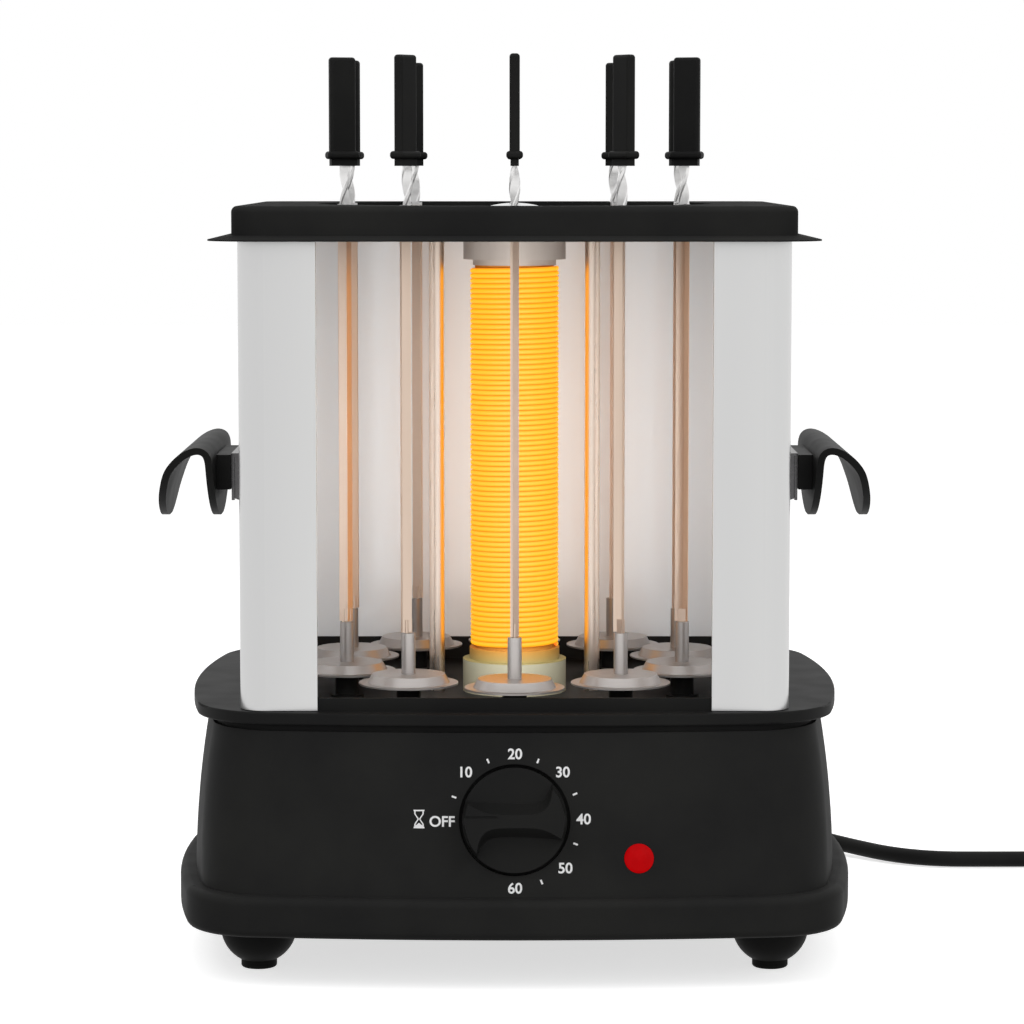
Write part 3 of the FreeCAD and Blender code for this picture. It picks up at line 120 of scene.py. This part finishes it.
def srgb(red, green, blue):
    """The linear colour that shows on a screen as these 0 to 255 values."""
    def linear(value):
        share = value / 255
        return share / 12.92 if share <= 0.04045 else ((share + 0.055) / 1.055) ** 2.4
    return (linear(red), linear(green), linear(blue), 1)


class Finish:
    """A material with one Principled shader, and texture nodes that vary its inputs."""

    def __init__(self, name, colour, roughness, metallic=0.0, specular=0.5):
        self.material = bpy.data.materials.new(name)
        self.material.use_nodes = True
        self.tree = self.material.node_tree
        self.shader = self.tree.nodes["Principled BSDF"]
        self.set("Base Color", colour)
        self.set("Roughness", roughness)
        self.set("Metallic", metallic)
        self.set("Specular IOR Level", specular)

    def set(self, socket, value):
        self.shader.inputs[socket].default_value = value

    def node(self, kind, **inputs):
        node = self.tree.nodes.new(kind)
        for name, value in inputs.items():
            node.inputs[name].default_value = value
        return node

    def link(self, source, target):
        self.tree.links.new(source, target)

    def place(self, kind="Object"):
        return self.node("ShaderNodeTexCoord").outputs[kind]

    def axes(self):
        """The X, Y and Z of a point on the piece."""
        apart = self.node("ShaderNodeSeparateXYZ")
        self.link(self.place(), apart.inputs["Vector"])
        return apart.outputs

    def noise(self, scale, stretch=(1, 1, 1), detail=3.0):
        """Noise in object space, about `scale` features to a metre, stretched along an axis."""
        mapping = self.node("ShaderNodeMapping", Scale=stretch)
        noise = self.node("ShaderNodeTexNoise", Scale=scale, Detail=detail)
        self.link(self.place(), mapping.inputs["Vector"])
        self.link(mapping.outputs["Vector"], noise.inputs["Vector"])
        return noise.outputs["Fac"]

    def ramp(self, source, stops):
        ramp = self.node("ShaderNodeValToRGB")
        elements = ramp.color_ramp.elements
        while len(elements) < len(stops):
            elements.new(0.5)
        for element, (place, colour) in zip(elements, stops):
            element.position = place
            element.color = colour
        self.link(source, ramp.inputs["Fac"])
        return ramp.outputs["Color"]

    def colours(self, source, stops, socket="Base Color"):
        self.link(self.ramp(source, stops), self.shader.inputs[socket])

    def mapped(self, source, seen, given):
        """Maps a number from the range `seen` to the range `given`."""
        span = self.node("ShaderNodeMapRange")
        for socket, value in zip(("From Min", "From Max", "To Min", "To Max"), seen + given):
            span.inputs[socket].default_value = value
        self.link(source, span.inputs["Value"])
        return span.outputs["Result"]

    def spread(self, source, low, high, socket="Roughness"):
        """Maps a texture's middle values to a range of one of the shader's numbers."""
        self.link(self.mapped(source, (0.3, 0.7), (low, high)), self.shader.inputs[socket])

    def height(self, low, high):
        """From 0 at one level to 1 at another."""
        return self.mapped(self.axes()["Z"], (low, high), (0, 1))

    def maths(self, operation, *sources):
        node = self.node("ShaderNodeMath")
        node.operation = operation
        for index, source in enumerate(sources):
            self.link(source, node.inputs[index])
        return node.outputs[0]

    def bump(self, source, height, strength=1.0):
        bump = self.node("ShaderNodeBump", Strength=strength, Distance=height)
        self.link(source, bump.inputs["Height"])
        self.link(bump.outputs["Normal"], self.shader.inputs["Normal"])


def moulded(name, level, roughness, grain=2600, height=0.02 * MM, specular=0.09):
    """Moulded or painted, nearly one grey, with a fine grain and faint cloudy wear."""
    finish = Finish(name, srgb(level, level, level), roughness, specular=specular)
    cloud = finish.noise(22, detail=4.0)
    tint = (srgb(level - 3, level - 3, level - 3), srgb(level + 3, level + 3, level + 2))
    finish.colours(cloud, [(0.35, tint[0]), (0.65, tint[1])])
    finish.spread(finish.noise(60, detail=5.0), roughness - 0.03, roughness + 0.03)
    finish.bump(finish.noise(grain, detail=2.0), height, 0.5)
    return finish.material


def metal(name, colour, roughness, stretch, spread=0.05, height=0.004 * MM, scale=900,
          metallic=1.0):
    """Bare metal with rolling or turning marks along one direction."""
    finish = Finish(name, colour, roughness, metallic=metallic)
    marks = finish.noise(scale, stretch, detail=4.0)
    darker = tuple(value * 0.93 for value in colour[:3]) + (1,)
    finish.colours(finish.noise(scale / 8, stretch), [(0.35, darker), (0.65, colour)])
    finish.spread(marks, roughness - spread, roughness + spread)
    finish.bump(marks, height, 0.3)
    return finish.material


def glowing_wire():
    """Resistance wire at orange heat, with painted highlight and shade: yellow on the crowns,
    deeper orange in the grooves.
    """
    finish = Finish("glowing_wire", srgb(120, 60, 20), 0.6)
    axes = finish.axes()
    squares = [finish.maths("MULTIPLY", axes[axis], axes[axis]) for axis in ("X", "Y")]
    radius = finish.maths("SQRT", finish.maths("ADD", *squares))
    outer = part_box("heater_coil")[1].x
    # painted highlight and shade: the glow grades from orange in the grooves to yellow on the
    # crowns, by distance from the axis
    crown = finish.mapped(radius, (outer - WIRE_RADIUS, outer), (0, 1))
    finish.colours(crown, [(0.0, srgb(238, 120, 8)), (0.45, srgb(252, 160, 10)),
                           (1.0, srgb(255, 192, 14))], "Emission Color")
    finish.set("Emission Strength", 1.0)
    return finish.material


def glow(name, base, light, strength, roughness=0.4):
    finish = Finish(name, base, roughness, specular=0.06)
    dim = tuple(value * 0.85 for value in light[:3]) + (1,)
    finish.colours(finish.noise(300), [(0.3, dim), (0.7, light)], "Emission Color")
    finish.set("Emission Strength", strength)
    return finish.material


def ceramic():
    """Fired ceramic below, and a collar that the heat has turned dull yellow above, with the
    winding's glow painted on it as an orange that deepens towards the winding.
    """
    finish = Finish("heater_ceramic", srgb(176, 152, 128), 0.7, specular=0.3)
    low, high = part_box("heater_former")[0].z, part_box("heater_coil")[0].z + 2 * MM
    joint = (COLLAR_FOOT - low) / (high - low)
    # painted glow light: the collar's dull yellow turns saturated orange towards the winding's
    # foot
    finish.colours(finish.height(low, high),
                   [(0.0, srgb(138, 132, 112)), (joint - 0.01, srgb(142, 138, 118)),
                    (joint + 0.01, srgb(132, 120, 74)), (1.0, srgb(174, 112, 20))])
    finish.bump(finish.noise(1400), 0.05 * MM, 0.4)
    return finish.material


def blade_steel():
    """Bright rolled strip, with the winding's glow painted on it as a warm reflection below the
    lid.
    """
    finish = Finish("blade_steel", srgb(226, 210, 196), 0.28, metallic=1.0)
    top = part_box("lid")[1].z
    # painted reflection: warm below the lid, near the glowing winding, and neutral above it
    finish.colours(finish.height(top - 4 * MM, top),
                   [(0.2, srgb(224, 202, 184)), (0.8, srgb(244, 243, 242))])
    marks = finish.noise(900, (1, 1, 0.03), detail=4.0)
    finish.spread(marks, 0.34, 0.44)
    finish.bump(marks, 0.004 * MM, 0.3)
    return finish.material


# Darker and lighter painted reflection stripes, how metallic, and how rough; the inner side is
# painted lighter than the outer
OUTER_STEEL = (srgb(205, 205, 205), srgb(221, 221, 220), 0.98, 0.3)
INNER_STEEL_PAINTED_LIGHTER = (srgb(218, 223, 227), srgb(234, 239, 243), 0.15, 0.14)


def shell_steel_painted_reflections():
    """Sheet with painted reflections as soft upright stripes: satin on the outer side, painted
    lighter on the inner side.
    """
    finish = Finish("shell_steel_painted_reflections", srgb(200, 200, 200), 0.3, metallic=0.8)
    flat = finish.node("ShaderNodeVectorMath")
    flat.operation = "MULTIPLY"
    flat.inputs[1].default_value = (1, 1, 0)
    finish.link(finish.place(), flat.inputs[0])
    outward = finish.node("ShaderNodeVectorMath")
    outward.operation = "DOT_PRODUCT"
    finish.link(flat.outputs["Vector"], outward.inputs[0])
    finish.link(finish.place("Normal"), outward.inputs[1])
    inner = finish.node("ShaderNodeMath")
    inner.operation = "LESS_THAN"
    inner.inputs[1].default_value = 0
    finish.link(outward.outputs["Value"], inner.inputs[0])
    is_inner = inner.outputs[0]
    # painted reflection: soft upright light and dark stripes that stand in for the studio's
    # reflections
    painted_reflection_stripes = finish.noise(16, (1, 1, 0.03), detail=1.5)
    # painted light: inner faces take the lighter inner colours, outer faces the darker outer ones
    mix = finish.node("ShaderNodeMix")
    mix.data_type = "RGBA"
    finish.link(is_inner, mix.inputs["Factor"])
    for socket, (dark, light, _, _) in (("A", OUTER_STEEL), ("B", INNER_STEEL_PAINTED_LIGHTER)):
        finish.link(finish.ramp(painted_reflection_stripes, [(0.32, dark), (0.68, light)]), mix.inputs[socket])
    finish.link(mix.outputs["Result"], finish.shader.inputs["Base Color"])
    for socket, outer_value, inner_value in zip(("Metallic", "Roughness"), OUTER_STEEL[2:],
                                                INNER_STEEL_PAINTED_LIGHTER[2:]):
        value = finish.mapped(is_inner, (0, 1), (outer_value, inner_value))
        finish.link(value, finish.shader.inputs[socket])
    finish.bump(finish.noise(700, (1, 1, 0.02)), 0.001 * MM, 0.08)
    return finish.material


MATERIALS = {
    "black_moulding": moulded("black_moulding", 34, 0.6, specular=0.055),
    "black_soft": moulded("black_soft", 18, 0.75, grain=1800, height=0.04 * MM),
    "black_enamel": moulded("black_enamel", 38, 0.7, grain=900, height=0.01 * MM, specular=0.01),
    "tray_enamel": moulded("tray_enamel", 26, 0.55, grain=900, height=0.01 * MM),
    "knob_black": moulded("knob_black", 26, 0.5),
    "grip_black": moulded("grip_black", 28, 0.5, grain=2000, specular=0.07),
    "cord_black": moulded("cord_black", 30, 0.55, grain=1500),
    # black plastic bushes, whose black also stands in as painted shade round the hubs
    "bush_black": moulded("bush_black", 24, 0.5),
    "shell_steel_painted_reflections": shell_steel_painted_reflections(),
    "polished_steel": metal("polished_steel", srgb(226, 227, 227), 0.14, (1, 1, 0.02), 0.03),
    "satin_steel": metal("satin_steel", srgb(168, 158, 150), 0.5, (1, 1, 0.05), metallic=0.6),
    "bracket_steel": metal("bracket_steel", srgb(96, 95, 96), 0.3, (1, 1, 1), height=0.001 * MM),
    "blade_steel": blade_steel(),
    # the posts' peach tint is a painted reflection of the winding's glow
    "post_steel_painted_glow": metal("post_steel_painted_glow", srgb(254, 236, 220), 0.3, (1, 1, 0.03)),
    "dish_aluminium": metal("dish_aluminium", srgb(162, 157, 154), 0.36, (1, 1, 1), 0.03,
                            height=0.001 * MM, scale=300, metallic=0.9),
    "zinc_steel": metal("zinc_steel", srgb(178, 182, 188), 0.35, (1, 1, 1)),
    "gear_plastic": moulded("gear_plastic", 214, 0.5, specular=0.5),
    "heater_ceramic": ceramic(),
    "glowing_wire": glowing_wire(),
    "lamp_red": glow("lamp_red", srgb(60, 0, 2), srgb(178, 0, 3), 0.97),
    "dial_print": Finish("dial_print", srgb(236, 236, 236), 0.5).material,
}

# The material of each solid that shows as it is
NODE_FINISH = {
    "bottom_pan": "black_moulding", "base_housing": "black_moulding",
    "ball_feet": "black_moulding", "foot_pads": "black_soft", "drip_tray": "tray_enamel",
    "spindle_bushes": "bush_black",
    "gear_plate": "zinc_steel", "heater_former": "heater_ceramic",
    "heater_top_holder": "satin_steel", "support_posts": "post_steel_painted_glow", "lid": "black_enamel",
    "lid_cap_nut": "polished_steel", "gear_motor": "zinc_steel", "timer_body": "zinc_steel",
    "lamp_lens": "lamp_red", "cord_gland": "cord_black", "plug": "cord_black",
    "screws": "zinc_steel", "timer_knob": "knob_black", "sun_gear": "gear_plastic",
    "motor_pinion": "gear_plastic", "left_shell": "shell_steel_painted_reflections", "right_shell": "shell_steel_painted_reflections",
    "left_bracket": "bracket_steel", "right_bracket": "bracket_steel",
    "left_handle": "grip_black", "right_handle": "grip_black",
}
NUMBERED_FINISH = {"spindle": "dish_aluminium", "skewer_handle": "grip_black"}


def finish_nodes():
    for name, node in NODES.items():
        kind = name.rsplit("_", 1)[0]
        slot = NODE_FINISH.get(name) or NUMBERED_FINISH.get(kind)
        if slot:
            node.data.materials.clear()
            node.data.materials.append(MATERIALS[slot])


# ---------------------------------------------------------------- meshes

def add_mesh(name, vertices, faces, material, smooth_angle=40):
    mesh = bpy.data.meshes.new(name)
    mesh.from_pydata([tuple(v) for v in vertices], [], faces)
    mesh.materials.append(MATERIALS[material])
    mesh.shade_smooth()
    mesh.set_sharp_from_angle(angle=math.radians(smooth_angle))
    piece = bpy.data.objects.new(name, mesh)
    bpy.context.scene.collection.objects.link(piece)
    return piece


def lofted(rings):
    """(vertices, faces) of a solid through rings of as many points each, closed at both ends."""
    count = len(rings[0])
    vertices = [point for ring in rings for point in ring]
    faces = []
    for level in range(len(rings) - 1):
        for side in range(count):
            here, beside = level * count + side, level * count + (side + 1) % count
            faces.append((here, beside, beside + count, here + count))
    last = (len(rings) - 1) * count
    faces.append(tuple(reversed(range(count))))
    faces.append(tuple(range(last, last + count)))
    return vertices, faces


def joined(parts):
    """One (vertices, faces) from several."""
    vertices, faces = [], []
    for part_vertices, part_faces in parts:
        start = len(vertices)
        vertices += part_vertices
        faces += [tuple(index + start for index in face) for face in part_faces]
    return vertices, faces


def ring_placement(index):
    bearing = math.radians(-90 + 360 / SKEWER_COUNT * index)
    place = Vector((SKEWER_CIRCLE * math.cos(bearing), SKEWER_CIRCLE * math.sin(bearing), 0))
    return Matrix.Translation(place) @ Matrix.Rotation(bearing, 4, "Z")


# ---------------------------------------------------------------- skewers

def flat_ring(width, thickness, edge, level, turn=0.0):
    """A flat bar's section with cut corners, turned about Z."""
    half, depth = width / 2, thickness / 2
    corners = [(half, depth - edge), (half - edge, depth), (edge - half, depth),
               (-half, depth - edge), (-half, edge - depth), (edge - half, -depth),
               (half - edge, -depth), (half, edge - depth)]
    c, s = math.cos(turn), math.sin(turn)
    return [Vector((x * c - y * s, x * s + y * c, level)) for x, y in corners]


def fold_ring(level):
    """The folded strip's section: a shallow V, the same thickness throughout."""
    half, fold, sheet = BLADE_WIDTH / 2, BLADE_DEPTH / 2, BLADE_THICKNESS
    corners = [(-half, -fold), (0, fold - sheet), (half, -fold), (half, -fold + sheet), (0, fold),
               (-half, -fold + sheet)]
    return [Vector((x, y, level)) for x, y in corners]


def make_blades():
    low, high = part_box("skewer_blade_01")
    lid_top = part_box("lid")[1].z
    handle_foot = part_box("skewer_handle_01")[0].z
    sleeve_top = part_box("spindle_01")[1].z
    twist = []
    for step in range(TWIST_STEPS + 1):
        share = step / TWIST_STEPS
        level = lid_top + (handle_foot - lid_top) * share
        twist.append(flat_ring(TWIST_WIDTH, TWIST_THICKNESS, TWIST_EDGE, level, math.pi * share))
    twist.append(flat_ring(TWIST_WIDTH, TWIST_THICKNESS, TWIST_EDGE, high.z, math.pi))
    tang = [flat_ring(TANG_WIDTH, TANG_THICKNESS, TWIST_EDGE, level)
            for level in (low.z, sleeve_top + BLADE_WIDTH)]
    strip = [fold_ring(level) for level in (sleeve_top + 0.3 * MM, lid_top)]
    vertices, faces = joined([lofted(twist), lofted(tang), lofted(strip)])
    for index in range(SKEWER_COUNT):
        number = "%02d" % (index + 1)
        blade = add_mesh("blade_" + number, vertices, faces, "blade_steel", 32)
        blade.matrix_world = ring_placement(index)
        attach(blade, "skewer_" + number)
        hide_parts("skewer_blade_" + number)


# ---------------------------------------------------------------- heater

def make_winding():
    """The winding as one helix of round wire, its turns touching."""
    low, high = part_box("heater_coil")
    turns = round((high.z - low.z) / WIRE_PITCH)
    pitch = (high.z - low.z) / turns
    middle = high.x - WIRE_RADIUS
    steps = (turns - 1) * WIRE_STEPS
    rings = []
    for step in range(steps + 1):
        turn = 2 * math.pi * step / WIRE_STEPS
        level = low.z + pitch / 2 + pitch * step / WIRE_STEPS
        ring = []
        for side in range(WIRE_SIDES):
            angle = 2 * math.pi * side / WIRE_SIDES
            radius = middle + WIRE_RADIUS * math.cos(angle)
            height = level + pitch / 2 * math.sin(angle)
            ring.append(Vector((radius * math.cos(turn), radius * math.sin(turn), height)))
        rings.append(ring)
    winding = add_mesh("heater_winding", *lofted(rings), "glowing_wire", 80)
    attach(winding, "base")
    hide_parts("heater_coil")


# ---------------------------------------------------------------- cord

def coil_points():
    """Turns that lie flat on one another, each climbing a diameter just before its start."""
    points = []
    count = int(COIL_TURNS * COIL_POINTS)
    for step in range(count + 1):
        turns = step / COIL_POINTS
        angle = 2 * math.pi * turns - math.pi / 2
        climb = min(max((turns % 1 - CLIMB_START) / (CLIMB_END - CLIMB_START), 0), 1)
        layer = math.floor(turns) + climb * climb * (3 - 2 * climb)
        points.append((COIL_CENTRE[0] + COIL_RADIUS * math.cos(angle),
                       COIL_CENTRE[1] + COIL_RADIUS * math.sin(angle),
                       COIL_FOOT + CORD_DIAMETER / MM * layer))
    return points


def make_cord():
    route = CORD_ROUTE + coil_points() + TAIL_ROUTE
    curve = bpy.data.curves.new("mains_cord", "CURVE")
    curve.dimensions = "3D"
    spline = curve.splines.new("NURBS")
    spline.points.add(len(route) - 1)
    for point, place in zip(spline.points, route):
        point.co = (place[0] * MM, place[1] * MM, place[2] * MM, 1)
    spline.order_u = 3
    spline.use_endpoint_u = True
    spline.resolution_u = 8
    curve.bevel_depth = CORD_DIAMETER / 2
    curve.bevel_resolution = 5
    curve.use_fill_caps = True
    curve.materials.append(MATERIALS["cord_black"])
    cord = bpy.data.objects.new("mains_cord", curve)
    bpy.context.scene.collection.objects.link(cord)
    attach(cord, "base")
    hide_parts("cord", "cord_coil")


# ---------------------------------------------------------------- dial

def panel_projector():
    """Gives the Y of the front panel's face at an (x, z)."""
    mesh = NODES["base_housing"].data
    tree = BVHTree.FromPolygons([v.co for v in mesh.vertices],
                                [p.vertices[:] for p in mesh.polygons])
    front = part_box("base_housing")[0].y

    def face_at(x, z):
        hit = tree.ray_cast(Vector((x, front - 0.02, z)), Vector((0, 1, 0)))[0]
        return hit.y if hit else front
    return face_at


FACE_AT = panel_projector()


def pixel_to_panel(u, v):
    """The (x, z) on the front panel that the camera sees at a pixel."""
    across = (u - PICTURE_SIZE / 2) / FOCAL_LENGTH_PX
    down = (v - PICTURE_SIZE / 2) / FOCAL_LENGTH_PX
    c, s = math.cos(CAMERA_DOWN), math.sin(CAMERA_DOWN)
    ray = Vector((across, c - down * s, -s - down * c))
    y = FACE_AT(*PANEL_POINT)
    for _ in range(4):
        reach = (y - CAMERA_PLACE.y) / ray.y
        point = CAMERA_PLACE + ray * reach
        y = FACE_AT(point.x, point.z)
    return point.x, point.z


def on_panel(name, outline_mesh):
    """Lays a flat mesh, made in the XZ plane, on the panel's face."""
    for vertex in outline_mesh.vertices:
        vertex.co.y = FACE_AT(vertex.co.x, vertex.co.z) - PRINT_LIFT
    outline_mesh.materials.clear()
    outline_mesh.materials.append(MATERIALS["dial_print"])
    piece = bpy.data.objects.new(name, outline_mesh)
    bpy.context.scene.collection.objects.link(piece)
    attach(piece, "base")
    return piece


def text_mesh(text):
    curve = bpy.data.curves.new("text", "FONT")
    curve.body = text
    curve.size = PRINT_SIZE
    curve.align_x = "CENTER"
    curve.align_y = "CENTER"
    curve.offset = PRINT_WEIGHT
    holder = bpy.data.objects.new("text", curve)
    bpy.context.scene.collection.objects.link(holder)
    bpy.context.view_layer.update()
    mesh = bpy.data.meshes.new_from_object(holder)
    bpy.data.objects.remove(holder)
    return mesh


def make_words():
    for text, pixel in WORDS.items():
        x, z = pixel_to_panel(*pixel)
        mesh = text_mesh(text)
        for vertex in mesh.vertices:
            vertex.co = Vector((vertex.co.x + x, 0, vertex.co.y + z))
        on_panel("dial_" + text.lower(), mesh)


def flat_mesh(name, outlines):
    """A flat mesh in the XZ plane from closed outlines of (x, z) points."""
    vertices, faces = [], []
    for outline in outlines:
        start = len(vertices)
        vertices += [(x, 0, z) for x, z in outline]
        faces.append(tuple(range(start, start + len(outline))))
    mesh = bpy.data.meshes.new(name)
    mesh.from_pydata(vertices, [], faces)
    return mesh


def make_hourglass():
    """The general sign for a time: an outlined glass with sand in its foot."""
    x, z = pixel_to_panel(*HOURGLASS)
    half, rise, line = HOURGLASS_SIZE[0] / 2, HOURGLASS_SIZE[1] / 2, HOURGLASS_LINE
    outlines = []
    for way in (-1, 1):
        top, below = z + way * rise, z + way * (rise - 2 * line)
        outlines.append([(x - half, top), (x + half, top), (x + half, top - way * line),
                         (x - half, top - way * line)])
        for side in (-1, 1):
            wide, neck = x + side * (half - line / 2), x + side * line
            outlines.append([(wide, top - way * line), (wide, below - way * line), (neck, z),
                             (neck - side * line, z), (wide - side * line, below - way * line),
                             (wide - side * line, top - way * line)])
    foot = z - rise + line
    sand = half - 1.5 * line
    outlines.append([(x - sand, foot), (x + sand, foot), (x + sand, foot + line),
                     (x, foot + 3 * line), (x - sand, foot + line)])
    on_panel("dial_hourglass", flat_mesh("dial_hourglass", outlines))


def make_ticks():
    """Short lines between the words, which point at the knob's middle."""
    low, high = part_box("timer_knob")
    centre = ((low.x + high.x) / 2, (low.z + high.z) / 2)
    outlines = []
    for pixel in TICKS:
        x, z = pixel_to_panel(*pixel)
        outward = Vector((x - centre[0], z - centre[1])).normalized()
        beside = Vector((-outward.y, outward.x))
        corners = []
        for along, across in ((1, 1), (-1, 1), (-1, -1), (1, -1)):
            corner = outward * (along * TICK_LENGTH / 2) + beside * (across * TICK_WIDTH / 2)
            corners.append((x + corner.x, z + corner.y))
        outlines.append(corners)
    on_panel("dial_ticks", flat_mesh("dial_ticks", outlines))


# ---------------------------------------------------------------- studio

def make_camera():
    data = bpy.data.cameras.new("camera")
    data.sensor_width = SENSOR_WIDTH
    data.lens = FOCAL_LENGTH_PX / PICTURE_SIZE * SENSOR_WIDTH
    data.clip_end = 20
    camera = bpy.data.objects.new("camera", data)
    camera.location = CAMERA_PLACE
    camera.rotation_euler = (math.pi / 2 - CAMERA_DOWN, 0, 0)
    bpy.context.scene.collection.objects.link(camera)
    bpy.context.scene.camera = camera


def mix_by_ray(tree, other, seen, rays):
    """A shader output: the named kinds of ray get `seen`, and all others get `other`."""
    path = tree.nodes.new("ShaderNodeLightPath")
    most = path.outputs[rays[0]]
    for ray in rays[1:]:
        maximum = tree.nodes.new("ShaderNodeMath")
        maximum.operation = "MAXIMUM"
        tree.links.new(most, maximum.inputs[0])
        tree.links.new(path.outputs[ray], maximum.inputs[1])
        most = maximum.outputs[0]
    mix = tree.nodes.new("ShaderNodeMixShader")
    tree.links.new(most, mix.inputs["Fac"])
    tree.links.new(other, mix.inputs[1])
    tree.links.new(seen, mix.inputs[2])
    return mix.outputs[0]


def make_world():
    world = bpy.data.worlds.new("studio")
    bpy.context.scene.world = world
    world.use_nodes = True
    tree = world.node_tree
    ambient = tree.nodes["Background"]
    ambient.inputs["Color"].default_value = (1, 1, 1, 1)
    ambient.inputs["Strength"].default_value = WORLD_LIGHT
    white = tree.nodes.new("ShaderNodeBackground")
    white.inputs["Color"].default_value = (1, 1, 1, 1)
    white.inputs["Strength"].default_value = 1
    both = mix_by_ray(tree, ambient.outputs[0], white.outputs[0],
                      ("Is Camera Ray", "Is Glossy Ray", "Is Transmission Ray"))
    tree.links.new(both, tree.nodes["World Output"].inputs["Surface"])


def make_floor():
    bpy.ops.mesh.primitive_plane_add(size=FLOOR_WIDTH)
    floor = bpy.context.object
    floor.name = "floor"
    material = bpy.data.materials.new("floor")
    material.use_nodes = True
    tree = material.node_tree
    tree.nodes.remove(tree.nodes["Principled BSDF"])
    matt, dark = tree.nodes.new("ShaderNodeBsdfDiffuse"), tree.nodes.new("ShaderNodeBsdfDiffuse")
    matt.inputs["Color"].default_value = (0.8, 0.8, 0.8, 1)
    dark.inputs["Color"].default_value = (0.3, 0.3, 0.3, 1)
    lift = tree.nodes.new("ShaderNodeEmission")
    lift.inputs["Strength"].default_value = FLOOR_LIFT
    both = tree.nodes.new("ShaderNodeAddShader")
    tree.links.new(matt.outputs[0], both.inputs[0])
    tree.links.new(lift.outputs[0], both.inputs[1])
    white = tree.nodes.new("ShaderNodeEmission")
    white.inputs["Strength"].default_value = 1
    direct = mix_by_ray(tree, dark.outputs[0], both.outputs[0], ("Is Camera Ray",))
    every = mix_by_ray(tree, direct, white.outputs[0], ("Is Glossy Ray", "Is Transmission Ray"))
    tree.links.new(every, tree.nodes["Material Output"].inputs["Surface"])
    floor.data.materials.append(material)


def area_light(name, place, target, width, height, power, colour=(1, 1, 1)):
    data = bpy.data.lights.new(name, "AREA")
    data.shape = "RECTANGLE"
    data.size = width
    data.size_y = height
    data.energy = power
    data.color = colour
    lamp = bpy.data.objects.new(name, data)
    lamp.location = place
    lamp.visible_glossy = False
    lamp.rotation_euler = (Vector(target) - Vector(place)).to_track_quat("-Z", "Y").to_euler()
    bpy.context.scene.collection.objects.link(lamp)
    return lamp


def make_lights():
    for name, place, width, height, power in LAMPS:
        area_light(name, place, LAMP_TARGET, width, height, power)
    chamber = area_light(*CHAMBER_LAMP)
    chamber.visible_camera = False
    low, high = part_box("heater_coil")
    centre = (low.z + high.z) / 2
    for name, way in (("glow_front", -1), ("glow_back", 1)):
        y = way * (high.x + GLOW_GAP)
        lamp = area_light(name, (0, y, centre), (0, 2 * y, centre), GLOW_WIDTH, high.z - low.z,
                          GLOW_POWER, GLOW_COLOUR)
        lamp.visible_camera = False
        lamp.visible_transmission = False


make_camera()
make_cord()
finish_nodes()
make_blades()
make_winding()
make_words()
make_ticks()
make_hourglass()
make_world()
make_floor()
make_lights()
bpy.context.scene.view_settings.view_transform = "Standard"
